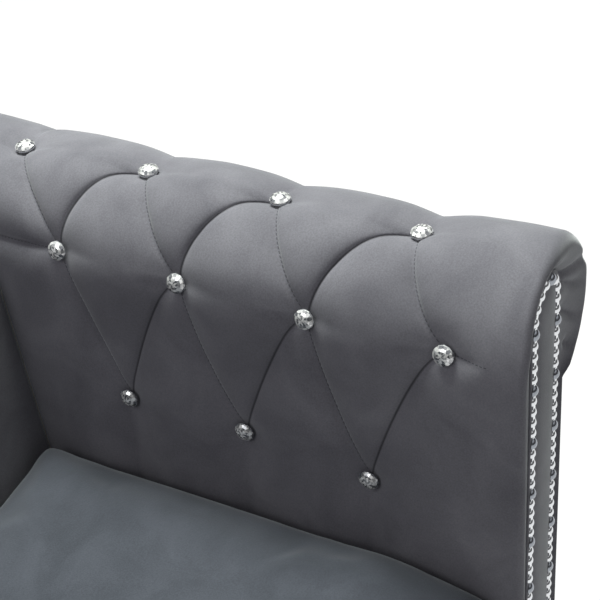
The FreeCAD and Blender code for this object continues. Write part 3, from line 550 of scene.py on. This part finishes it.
# Gathers where the cloth is drawn from the roll in to the facing's arch: p and z along each fold
gathers = [dict(line=[(118, 716), (140, 703), (167, 690), (212, 676)], depth=7.0, width=11.0, rim=0.5),
           dict(line=[(156, 688), (180, 668), (206, 650)], depth=5.0, width=9.0, rim=0.05),
           dict(line=[(160, 652), (180, 632), (206, 612)], depth=5.0, width=9.0, rim=0.05),
           dict(line=[(164, 610), (176, 600), (190, 588)], depth=4.0, width=8.0, rim=0.05),
           dict(line=[(96, 717), (84, 726), (74, 733)], depth=4.0, width=8.0, rim=0.05),
           dict(line=[(86, 702), (70, 700), (58, 706)], depth=4.0, width=8.0, rim=0.05),
           dict(line=[(112, 722), (112, 730), (110, 738)], depth=3.5, width=9.0, rim=0.05),
           dict(line=[(132, 717), (140, 726), (150, 736)], depth=3.5, width=9.0, rim=0.05)]


# How deep the gathers press the cloth in at one spot, and the share of it that reaches the roll's rim
def gatherDepth(p, z):
    spot = Vector((p, z, 0.0))
    depth, rim = 0.0, 0.0
    for fold in gathers:
        points = [Vector((x, y, 0.0)) for x, y in fold["line"]]
        away = 1e9
        for a, b in zip(points, points[1:]):
            share = max(0.0, min(1.0, (spot - a).dot(b - a) / (b - a).length_squared))
            away = min(away, (a + (b - a) * share - spot).length)
        pressed = fold["depth"] * max(0.0, 1 - away / fold["width"]) ** 1.5
        if pressed > depth:
            depth, rim = pressed, fold["rim"]
    return depth, rim


# The front edge is tight beside the seat and full over the roll
def roundness(kind, value):
    if kind == "below":
        return wrap["roundInner"]
    if kind == "outer":
        return wrap["roundOuter"]
    knots = [(faceLength, wrap["roundInner"])]
    knots += [(topRow + past, radius) for past, radius in rollRounding]
    knots.append((coverEnd, wrap["roundOuter"]))
    return betweenKnots(knots, max(value, faceLength))


# Place of a spot on the front wrap: the stage, and the share of the way through it
def wrapPlace(kind, value, stage, share):
    (p0, z0), (p1, z1) = wrapEnds(kind, value)
    length = math.hypot(p1 - p0, z1 - z0)
    towardP, towardZ = (p1 - p0) / length, (z1 - z0) / length
    turn = min(roundness(kind, value), wrap["turnShare"] * length)
    # a narrow band stands less proud, so that the nails show over it
    front = max(lipFront(p0), -wrap["proud"] * length)
    full = 0.0
    if kind == "main":
        full = max(0.0, min(1.0, (turn - wrap["roundInner"]) / wrap["fullOver"]))
    if stage == "return":
        reach, y = 0.0, sofa["wrapStart"] + (front + turn - sofa["wrapStart"]) * share
    elif stage == "round":
        angle = share * math.pi / 2
        reach, y = turn * (1 - math.cos(angle)), front + turn * (1 - math.sin(angle))
    elif stage == "band":
        reach = turn + (length - turn) * share
        fall = (1 - full) * (1 - (1 - share) ** 2) + full * share ** 2
        y = front + (wrap["meet"] - front) * fall
    else:
        reach, y = length, wrap["meet"] + (wrap["sinkTo"] - wrap["meet"]) * share
    p, z = p0 + towardP * reach, z0 + towardZ * reach
    if kind == "main" and value > faceLength - wrap["gatherBelow"]:
        fold, rim = gatherDepth(p, z)
        deepen = rim + (1 - rim) * min(1.0, wrap["gatherGrow"] * share)
        fold *= {"return": rim * share, "round": rim, "band": deepen, "sink": 1 - share}[stage]
        intoP, intoZ = crest(value)[2:]
        across = wrap["gatherAcross"] * {"return": 1.0, "round": 1.0 - share}.get(stage, 0.0)
        p, z, y = p + fold * across * intoP, z + fold * across * intoZ, y + fold * (1 - across)
    return p, y, z


def evenly(start, end, count):
    return [start + (end - start) * i / count for i in range(count + 1)]


# A tufted cover starts as a flat grid of pitches and rows, then takes its place on the wall
def tuftedCover(name, wall, side, wrapped):
    perHalf = wall["perPitch"] // 2
    columns = [("main", q) for q in evenly(wall["qHigh"], wall["qLow"],
                                           round((wall["qHigh"] - wall["qLow"]) * wall["perPitch"]))]
    mainColumns = len(columns)
    rows = [("main", s) for s in evenly(0.0, lowRow, perHalf + tuft["moreLow"])]
    rows += [("main", s) for s in evenly(lowRow, middleRow, perHalf)[1:]]
    rows += [("main", s) for s in evenly(middleRow, topRow, perHalf)[1:]]
    rows += [("main", s) for s in evenly(topRow, coverEnd, perHalf + tuft["moreOver"])[1:]]
    firstMain, lastMain = 0, len(rows) - 1
    if wrapped:
        for stage in ("return", "round", "band", "sink"):
            columns += [(stage, share) for share in evenly(0.0, 1.0, wrap[stage + "s"])[1:]]
        heights = evenly(sofa["skirtBottom"], sofa["deckHeight"], wrap["belowRows"])
        below = [("below", z) for z in heights[:-1]]
        rows = below + rows
        rows += [("outer", z) for z in evenly(wrap["outerTop"], sofa["skirtBottom"], wrap["outerRows"])]
        firstMain, lastMain = len(below), len(below) + lastMain
    bm = bmesh.new()
    bmesh.ops.create_grid(bm, x_segments=len(columns) - 1, y_segments=len(rows) - 1, size=0.5)
    seamAway = bm.verts.layers.float.new("seamAway")
    seamRun = bm.verts.layers.float.new("seamRun")
    foldAway = bm.verts.layers.float.new("foldAway")
    onPleat = []
    outside = []
    spots = {}
    for v in bm.verts:
        i = round((v.co.x + 0.5) * (len(columns) - 1))
        j = round((v.co.y + 0.5) * (len(rows) - 1))
        spots[v] = (i, j)
    for face in bm.faces:
        inMain = all(spots[v][0] < mainColumns for v in face.verts)
        inRows = all(firstMain <= spots[v][1] <= lastMain for v in face.verts)
        if inMain and not inRows:
            outside.append(face)
    bmesh.ops.delete(bm, geom=outside, context="FACES")
    for v in bm.verts:
        i, j = spots[v]
        stage, share = columns[i]
        kind, value = rows[j]
        v[seamAway], v[seamRun], v[foldAway] = farAway, 0.0, farAway
        if stage == "main" and kind == "main":
            q = share
            s = handSet(wall, q, value)
            bowed = q + pleatBow(wall, q, value)
            inset = drawIn(wall, q, value)
            p, along, z = wallPlace(wall, bowed, s, 0.0)
            ends = along - wall["lowEnd"](p), wall["highEnd"](p) - along
            if wrapped:
                inset *= easeIn(ends[0] / tuft["endFade"])
                inset -= frontSwell(value, along)
            else:
                inset += tuft["cornerDip"] * math.exp(-max(ends[0], 0.0) / tuft["cornerReach"])
            inset += tuft["cornerDip"] * math.exp(-max(ends[1], 0.0) / tuft["cornerReach"])
            calm = min(1.0, max(0.0, ends[0] / tuft["calmReach"])) ** 2
            wave = noise.noise(Vector((along, value, side * tuft["rippleApart"])) / tuft["rippleSize"])
            inset += tuft["ripple"] * wave * calm
            p, along, z = wallPlace(wall, bowed, s, inset)
            t = rowShare(value)
            aways = [offPleat(*line) for line in pleatLines(wall, q, value)]
            if abs(t) <= 1.0:
                if min(aways) < 1e-6:
                    onPleat.append(v)
                # pleats run slantwise, so the way square to them is shorter than the way along the row
                v[seamAway] = aways[1 if t > 0 else 0] * tuft["pitch"] * tuft["slant"]
                v[foldAway] = aways[0 if t > 0 else 1] * tuft["pitch"] * tuft["slant"]
                v[seamRun] = value
            level = endSeamAway(wall, q, value)
            if level < v[seamAway]:
                v[seamAway], v[seamRun] = level, along
        elif stage == "main":
            p, along, z = wrapPlace(kind, value, "return", 0.0)
        else:
            p, along, z = wrapPlace(kind, value, stage, share)
        v.co = wall["place"](side, p, along, z)
    bmesh.ops.connect_verts(bm, verts=onPleat)
    # the free edges at the seat and behind the roll tuck in
    origin = wall["place"](side, 0, 0, 0)
    for row, (depth, rise) in ((firstMain, tuft["tuckSeat"]), (lastMain, tuft["tuckOver"])):
        edges = [e for e in bm.edges if e.is_boundary and all(
            v in spots and spots[v][1] == row and spots[v][0] < mainColumns for v in e.verts)]
        grown = bmesh.ops.extrude_edge_only(bm, edges=edges)["geom"]
        bmesh.ops.translate(bm, verts=newVerts(grown), vec=wall["place"](side, depth, 0, rise) - origin)
    bm.normal_update()
    viewer = wall["place"](side, *tuft["inFront"])
    middle = min(bm.faces, key=lambda f: (f.calc_center_median() - viewer).length)
    if middle.normal.dot(wall["place"](side, -1, 0, 0) - origin) < 0:
        bmesh.ops.reverse_faces(bm, faces=bm.faces)
    piece = addPiece(name, bm, tuftedVelvet)
    thicken(piece, "quilt", tuft["cloth"] * mm)
    return piece


for word, side in (("Right", 1), ("Left", -1)):
    cover = tuftedCover("armCover" + word, armWall, side, True)
    upholster(cover, "arm_cover_" + word.lower(), "arm_pad_" + word.lower(), fill=tuft["fill"])
upholster(tuftedCover("backCover", backWall, 1, False), "back_cover", "back_pad", fill=tuft["fill"])
print("tufted covers made")


# Loose seat cushions: foam in a plain velvet case, crowned, resting on the deck
cushion = dict(gap=1.2, inset=2.0, bevel=14.0, bevelSteps=5, crown=14.0, crownFlat=4, edge=164.5, nose=6.0,
               droop=38.0, droopReach=130.0, droopBend=1.5, topPull=3, smoothings=3, voxel=8.0, cap=9.0,
               pressure=4.0, frames=20, fill=0.8)


def applyModifiers(piece):
    shaped = bpy.data.meshes.new_from_object(piece.evaluated_get(bpy.context.evaluated_depsgraph_get()))
    piece.modifiers.clear()
    piece.data = shaped


# The case fills out under its foam's pressure, and no point moves further than the cap
def inflate(piece):
    rest = [v.co.copy() for v in piece.data.vertices]
    cloth = piece.modifiers.new("fillOut", "CLOTH")
    cloth.settings.use_pressure = True
    cloth.settings.uniform_pressure_force = cushion["pressure"]
    cloth.settings.effector_weights.gravity = 0
    for step in range(1, cushion["frames"] + 1):
        scene.frame_set(step)
    applyModifiers(piece)
    scene.frame_set(1)
    for v, start in zip(piece.data.vertices, rest):
        move = v.co - start
        if move.length > cushion["cap"] * mm:
            v.co = start + move.normalized() * cushion["cap"] * mm


def seatCushion(name):
    low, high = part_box("seat_cushion_" + name)
    third = (sofa["halfSeat"] + lean(sofa["deckHeight"] + cushion["edge"])) / 3
    bottom, top = sofa["deckHeight"] + sofa["fit"], sofa["deckHeight"] + cushion["edge"]
    front = -cushion["nose"] + toBack

    def sideAt(z, towards):
        if name == "centre" or (name == "right") != (towards > 0):
            between = {"left": -third, "right": third, "centre": towards * third}[name]
            return between - towards * cushion["gap"] / 2
        return towards * (sofa["halfSeat"] + lean(z) - cushion["gap"])

    def backAt(z):
        return sofa["seatDepth"] + lean(z) - cushion["gap"] + toBack

    bm = bmesh.new()
    bmesh.ops.create_cube(bm, size=2.0)
    for v in bm.verts:
        z = top - cushion["inset"] if v.co.z > 0 else bottom
        x = sideAt(z, v.co.x) - v.co.x * cushion["inset"]
        y = backAt(z) - cushion["inset"] if v.co.y > 0 else front + cushion["inset"]
        v.co = Vector((x, y, z)) * mm
    roundEdges(bm, bm.edges[:], cushion["bevel"] * mm, cushion["bevelSteps"])
    bmesh.ops.recalc_face_normals(bm, faces=bm.faces)
    piece = addPiece("cushion" + name.capitalize(), bm, seatVelvetPaintedShade)
    shape = piece.modifiers.new("evenMesh", "REMESH")
    shape.mode = "VOXEL"
    shape.voxel_size = cushion["voxel"] * mm
    applyModifiers(piece)
    crown = bmesh.new()
    crown.from_mesh(piece.data)
    for v in crown.verts:
        acrossX = (v.co.x - low.x) / (high.x - low.x) * 2 - 1
        acrossY = (v.co.y - low.y) / (high.y - low.y) * 2 - 1
        rise = max(0.0, 1 - acrossX ** cushion["crownFlat"]) * max(0.0, 1 - acrossY ** cushion["crownFlat"])
        share = max(0.0, (v.co.z - bottom * mm) / ((top - bottom) * mm))
        # the foam is rounded over towards the front
        forward = max(0.0, 1 - (v.co.y / mm - front) / cushion["droopReach"])
        lift = cushion["crown"] * rise - cushion["droop"] * forward ** cushion["droopBend"]
        v.co.z += lift * mm * share ** cushion["topPull"]
    for _ in range(cushion["smoothings"]):
        bmesh.ops.smooth_vert(crown, verts=crown.verts, factor=0.5, use_axis_x=True, use_axis_y=True,
                              use_axis_z=True)
    crown.to_mesh(piece.data)
    crown.free()
    inflate(piece)
    # it stays within its room between the walls, the next cushion and the deck
    for v in piece.data.vertices:
        z = max(v.co.z, bottom * mm)
        v.co = (min(max(v.co.x, sideAt(z / mm, -1) * mm), sideAt(z / mm, 1) * mm),
                min(max(v.co.y, front * mm), backAt(z / mm) * mm), z)
    piece.data.shade_smooth()
    finer = piece.modifiers.new("finer", "SUBSURF")
    finer.levels = finer.render_levels = 1
    upholster(piece, "seat_cushion_" + name, "cushion_core_" + name, fill=cushion["fill"],
              body="cushion_" + name)


for name in ("left", "centre", "right"):
    seatCushion(name)
print("cushions made")


# Crystal buttons: cut glass silvered behind, each set on its metal cup
crystal = dict(height=5.2, cup=6.2, facets=12, flat=0.02, paintedReflectionMm=1.3, spin=1.7,
               # each ring's radius and height, how often it has the facets, and its turn in facets
               rings=((2.9, 4.9, 1, 0.0), (5.3, 4.25, 1, 0.5), (7.5, 3.1, 1, 0.0), (9.5, 1.4, 2, 0.25),
                      (9.0, 0.0, 2, 0.25)))


def crystalShape():
    bm = bmesh.new()
    for radius, height, times, turn in crystal["rings"]:
        spin = Matrix.Rotation(turn * 2 * math.pi / crystal["facets"], 4, "Z")
        bmesh.ops.create_circle(bm, segments=crystal["facets"] * times, radius=radius * mm,
                                matrix=Matrix.Translation((0, 0, height * mm)) @ spin)
    bm.verts.new((0, 0, crystal["height"] * mm))
    hull = bmesh.ops.convex_hull(bm, input=bm.verts)
    bmesh.ops.delete(bm, geom=newVerts(hull["geom_interior"] + hull["geom_unused"]), context="VERTS")
    bmesh.ops.dissolve_limit(bm, angle_limit=crystal["flat"], verts=bm.verts, edges=bm.edges)
    bmesh.ops.recalc_face_normals(bm, faces=bm.faces)
    # painted reflection: each facet is given a random share between the dark and the bright colour
    paintedReflection = bm.faces.layers.float.new("paintedReflection")
    for face in bm.faces:
        face[paintedReflection] = (noise.cell(face.calc_center_median() / (crystal["paintedReflectionMm"] * mm)) + 1) / 2
    shape = bpy.data.meshes.new("crystalShape")
    bm.to_mesh(shape)
    bm.free()
    return shape


def crystals(name, wall, side, shape):
    bm = bmesh.new()
    for row in ("low", "middle", "top"):
        for q in wall[row]["buttons"]:
            s = handSet(wall, q, wall[row]["s"])
            intoP, intoZ = crest(s)[2:]
            out = (wall["place"](side, -intoP, 0, -intoZ) - wall["place"](side, 0, 0, 0)).normalized()
            seat = wall["place"](side, *wallPlace(wall, q, s, tuft["button"]))
            old = set(bm.verts)
            bm.from_mesh(shape)
            turn = Vector((0, 0, 1)).rotation_difference(out).to_matrix().to_4x4()
            spin = Matrix.Rotation(q * crystal["spin"], 4, "Z")
            lift = Matrix.Translation(seat + out * (sofa["fit"] + crystal["cup"]) * mm)
            bmesh.ops.transform(bm, matrix=lift @ turn @ spin, verts=[v for v in bm.verts if v not in old])
    return addPiece(name, bm, cutCrystal, smooth=False)


oneCrystal = crystalShape()
for word, wall, side in (("right", armWall, 1), ("left", armWall, -1), ("back", backWall, 1)):
    stones = crystals("crystals" + word.capitalize(), wall, side, oneCrystal)
    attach(stones, "frame")
    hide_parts("crystal_buttons_" + word)
bpy.data.meshes.remove(oneCrystal)
print("crystals made")


# Upright velvet panels are drawn straight and then leaned with the wall above the deck
def leanVerts(bm, place, side):
    for v in bm.verts:
        v.co = place(side, v.co.x + lean(v.co.z), v.co.y, v.co.z)


facingPad = dict(edge=1.6, flat=10.5, steps=((3.0, 0.9), (5.0, 0.8), (7.0, 0.4)), archSteps=24, edgeSteps=3,
                 fill=0.95)


# A keyhole outline is thickened, then its front is padded inside the flat rim that the nails hold
def armFacing(word, side):
    bm = bmesh.new()
    levels = (sofa["skirtBottom"], sofa["deckHeight"], archSpring)
    corners = [bm.verts.new((wrap["facingInner"], 0.0, z)) for z in levels]
    arch = bmesh.ops.spin(bm, geom=[corners[-1]], cent=(archMiddle, 0, archSpring), axis=(0, 1, 0),
                          angle=math.pi, steps=facingPad["archSteps"], use_merge=False)["geom_last"]
    ends = newVerts(arch)
    ends += [bm.verts.new((wrap["facingOuter"], 0.0, z)) for z in (sofa["deckHeight"], sofa["skirtBottom"])]
    for line in (corners, ends + [corners[0]]):
        for a, b in zip(line, line[1:]):
            bm.edges.new((a, b))
    bmesh.ops.contextual_create(bm, geom=bm.edges[:])
    grown = bmesh.ops.extrude_face_region(bm, geom=bm.faces[:], use_keep_orig=True)["geom"]
    bmesh.ops.translate(bm, verts=newVerts(grown), vec=(0, sofa["facing"], 0))
    bmesh.ops.recalc_face_normals(bm, faces=bm.faces)
    face = min(bm.faces, key=lambda f: f.calc_center_median().y)
    roundEdges(bm, face.edges[:], facingPad["edge"], facingPad["edgeSteps"])
    face = max((f for f in bm.faces if f.normal.y < -0.99), key=lambda f: f.calc_area())
    bmesh.ops.inset_region(bm, faces=[face], thickness=facingPad["flat"], depth=0.0)
    for thickness, depth in facingPad["steps"]:
        bmesh.ops.inset_region(bm, faces=[face], thickness=thickness, depth=depth)
    leanVerts(bm, armPoint, side)
    bmesh.ops.triangulate(bm, faces=[f for f in bm.faces if len(f.verts) > 4])
    bmesh.ops.recalc_face_normals(bm, faces=bm.faces)
    piece = addPiece("armFacing" + word, bm, plainVelvet)
    upholster(piece, "arm_facing_" + word.lower(), fill=facingPad["fill"])


panelPad = dict(edge=1.8, edgeSteps=3, over=8.0, corner=0.5, fill=1.0)


# A covered panel between the deck's rails and the roll, its ends cut to meet the next wall's
def outsidePanel(name, node, place, side, start, end):
    top = outerHeight - sofa["outerRadius"] + panelPad["over"]
    bm = bmesh.new()
    bmesh.ops.create_cube(bm, size=2.0)
    for v in bm.verts:
        x = sofa["wall"] if v.co.x > 0 else sofa["wall"] - sofa["panel"]
        z = top if v.co.z > 0 else sofa["skirtBottom"]
        v.co = (x, -1.0 if v.co.y < 0 else 1.0, z)
    splitAt(bm, (0, 0, sofa["deckHeight"]), (0, 0, 1))
    for v in bm.verts:
        p = v.co.x + lean(v.co.z)
        v.co.y = start(p) if v.co.y < 0 else end(p)
    middle = sofa["wall"] - sofa["panel"] / 2
    outer = [e for e in bm.edges if all(v.co.x > middle for v in e.verts)]
    rim = [e for e in outer if e.calc_face_angle(0) > panelPad["corner"]]
    roundEdges(bm, rim, panelPad["edge"], panelPad["edgeSteps"])
    leanVerts(bm, place, side)
    bmesh.ops.recalc_face_normals(bm, faces=bm.faces)
    upholster(addPiece(name, bm, plainVelvet), node, fill=panelPad["fill"])


for word, side in (("Right", 1), ("Left", -1)):
    armFacing(word, side)
    outsidePanel("outsideArm" + word, "outside_arm_" + word.lower(), armPoint, side,
                 lambda p: sofa["facing"], armWall["highEnd"])
outsidePanel("outsideBack", "outside_back", backPoint, 1, backWall["lowEnd"], backWall["highEnd"])

# Blocks of padding under the seat: the velvet front border and the cloth-covered deck
block = dict(borderEdge=9.0, deckEdge=4.0, longEdge=0.5, edgeSteps=5, fill=0.9)


def paddedBlock(name, node, material, slot, edge, picks):
    low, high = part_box(node)
    bm = bmesh.new()
    bmesh.ops.create_cube(bm, size=1.0)
    bmesh.ops.scale(bm, verts=bm.verts, vec=high - low)
    bmesh.ops.translate(bm, verts=bm.verts, vec=(low + high) / 2)
    roundEdges(bm, [e for e in bm.edges if picks(e)], edge * mm, block["edgeSteps"])
    upholster(addPiece(name, bm, material), node, fill=block["fill"], slot=slot)


def longFrontEdge(e):
    a, b = e.verts
    return a.normal.y < 0 and b.normal.y < 0 and abs(a.co.x - b.co.x) > block["longEdge"]


paddedBlock("frontBorder", "front_border", plainVelvet, "velvet", block["borderEdge"], longFrontEdge)
paddedBlock("seatDeck", "seat_deck", deckCotton, "deck_cloth", block["deckEdge"], lambda e: True)
print("panels and deck made")

# Dust cloth stapled under the rails, cut out round each leg's plate
dustCloth = dict(cut=33.0, legs=((894.5, -271.4), (894.5, 208.6), (279.17, -31.4)))


def underCloth():
    low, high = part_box("dust_cloth")
    bm = bmesh.new()
    bmesh.ops.create_grid(bm, x_segments=24, y_segments=8, size=0.5)
    bmesh.ops.scale(bm, verts=bm.verts, vec=(high.x - low.x, high.y - low.y, 1.0))
    bmesh.ops.translate(bm, verts=bm.verts, vec=((low.x + high.x) / 2, (low.y + high.y) / 2, high.z))
    cuts = [(side * x * mm, y * mm) for x, y in dustCloth["legs"] for side in (1, -1)]
    half = dustCloth["cut"] * mm
    lines = {(round(x + edge, 5), "x") for x, y in cuts for edge in (-half, half)}
    lines |= {(round(y + edge, 5), "y") for x, y in cuts for edge in (-half, half)}
    for at, axis in sorted(lines):
        across = (1, 0, 0) if axis == "x" else (0, 1, 0)
        splitAt(bm, [at * c for c in across], across)
    inside = [f for f in bm.faces if any(abs(f.calc_center_median().x - x) < half and
                                         abs(f.calc_center_median().y - y) < half for x, y in cuts)]
    bmesh.ops.delete(bm, geom=inside, context="FACES")
    bmesh.ops.reverse_faces(bm, faces=bm.faces)
    piece = addPiece("dustCloth", bm, dustCambric)
    thicken(piece, "cloth", high.z - low.z)
    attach(piece, "frame")
    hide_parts("dust_cloth")


underCloth()

# The frame's own solids take their finishes
finishes = {sawnBeech: ("front_rail", "rear_rail", "side_rail", "cross_rails", "corner_blocks", "arm_post",
                        "corner_post", "back_uprights", "arm_top_rail", "arm_tack_rail", "back_top_rail",
                        "back_tack_rail"),
            birchPly: ("arm_scroll_board",), stainedBeech: ("leg_front", "leg_rear", "leg_middle"),
            springSteel: ("seat_springs",), zincSteel: ("spring_clips", "leg_plates", "hanger_bolts"),
            jute: ("back_webbing",), cupMetal: ("button_cups",), stripMetal: ("nail_strip",),
            nailMetalPaintedShade: ("trim_nails",), glideNylon: ("leg_glides",)}
for material, starts in finishes.items():
    for name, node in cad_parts.items():
        if name.startswith(starts):
            node.data.materials.clear()
            node.data.materials.append(material)
print("finishes given")

# Camera at the photograph's viewing angle
view = dict(place=(0.0126, -0.7426, 1.5868), yaw=0.97863, pitch=0.70195, roll=-0.16091, lens=95.05,
            sensor=36.0)


def placeCamera():
    yaw, pitch, roll = view["yaw"], view["pitch"], view["roll"]
    ahead = Vector((math.sin(yaw) * math.cos(pitch), math.cos(yaw) * math.cos(pitch), -math.sin(pitch)))
    right = Vector((math.cos(yaw), -math.sin(yaw), 0.0))
    up = right.cross(ahead)
    across = right * math.cos(roll) + up * math.sin(roll)
    upright = up * math.cos(roll) - right * math.sin(roll)
    data = bpy.data.cameras.new("photoCamera")
    data.lens = view["lens"]
    data.sensor_width = view["sensor"]
    camera = bpy.data.objects.new("photoCamera", data)
    turn = Matrix((across, upright, -ahead)).transposed()
    camera.matrix_world = Matrix.Translation(view["place"]) @ turn.to_4x4()
    scene.collection.objects.link(camera)
    scene.camera = camera


# A pale studio floor that the camera sees as white, and soft lamps
studio = dict(floorSize=14.0, floorColour="#ececec", whiteShare=0.85, worldColour="#ffffff",
              worldStrength=0.3, wallShade=0.12, wallTop=0.35, ceilingFrom=0.6,
              keyPlace=(1.64, 0.5, 2.6), keyAim=(0.9, 0.1, 0.6), keySize=1.0, keyPower=117.0,
              keyColour="#fafff6", fillPlace=(-1.6, 0.5, 3.0), fillAim=(-0.6, 0.0, 0.4), fillSize=1.6,
              fillPower=30.0, fillColour="#ffffff")


def areaLamp(name, place, aim, size, power, colour):
    data = bpy.data.lights.new(name, "AREA")
    data.size = size
    data.energy = power
    data.color = toLinear(colour)[:3]
    lamp = bpy.data.objects.new(name, data)
    lamp.location = place
    lamp.rotation_euler = (Vector(aim) - Vector(place)).to_track_quat("-Z", "Y").to_euler()
    scene.collection.objects.link(lamp)


# One for rays that come straight from the camera or by a mirror or through glass, nothing for other light
def seenRay(tree, path):
    seen = reckon(tree, "MAXIMUM", path["Is Camera Ray"], path["Is Glossy Ray"])
    return reckon(tree, "MAXIMUM", seen, path["Is Transmission Ray"])


def studioFloor():
    material, tree = newMaterial("paintedStudioFloor")
    path = addNode(tree, "ShaderNodeLightPath").outputs
    share = reckon(tree, "MULTIPLY", seenRay(tree, path), studio["whiteShare"])
    paint = addNode(tree, "ShaderNodeBsdfDiffuse", {"Color": toLinear(studio["floorColour"])})
    white = addNode(tree, "ShaderNodeEmission", {"Strength": 1.0})
    mixed = addNode(tree, "ShaderNodeMixShader", {0: share, 1: paint.outputs[0], 2: white.outputs[0]})
    finishMaterial(tree, mixed)
    bm = bmesh.new()
    bmesh.ops.create_grid(bm, x_segments=4, y_segments=4, size=studio["floorSize"] / 2)
    addPiece("studioFloor", bm, material)


def studioWorld():
    world = bpy.data.worlds.new("studioWorld")
    scene.world = world
    world.use_nodes = True
    tree = world.node_tree
    tree.nodes.clear()
    path = addNode(tree, "ShaderNodeLightPath").outputs
    dim = addNode(tree, "ShaderNodeBackground", {"Color": toLinear(studio["worldColour"]),
                                                 "Strength": studio["worldStrength"]})
    # polished metal sees the studio's bright ceiling over its darker walls
    outward = addNode(tree, "ShaderNodeTexCoord").outputs["Generated"]
    height = addNode(tree, "ShaderNodeSeparateXYZ", {0: outward}).outputs["Z"]
    rise = remap(tree, height, fromMin=studio["wallTop"], fromMax=studio["ceilingFrom"],
                 toMin=studio["wallShade"])
    room = addNode(tree, "ShaderNodeMix", {"Factor": path["Is Glossy Ray"], "A": 1.0, "B": rise}).outputs[0]
    white = addNode(tree, "ShaderNodeBackground", {"Strength": 1.0, "Color": room})
    mixed = addNode(tree, "ShaderNodeMixShader", {0: seenRay(tree, path), 1: dim.outputs[0],
                                                  2: white.outputs[0]})
    addNode(tree, "ShaderNodeOutputWorld", {"Surface": mixed.outputs[0]})


placeCamera()
studioFloor()
studioWorld()
for lamp in ("key", "fill"):
    settings = [studio[lamp + word] for word in ("Place", "Aim", "Size", "Power", "Colour")]
    areaLamp(lamp + "Lamp", *settings)
print("camera and studio set")
scene.view_settings.view_transform = "Standard"
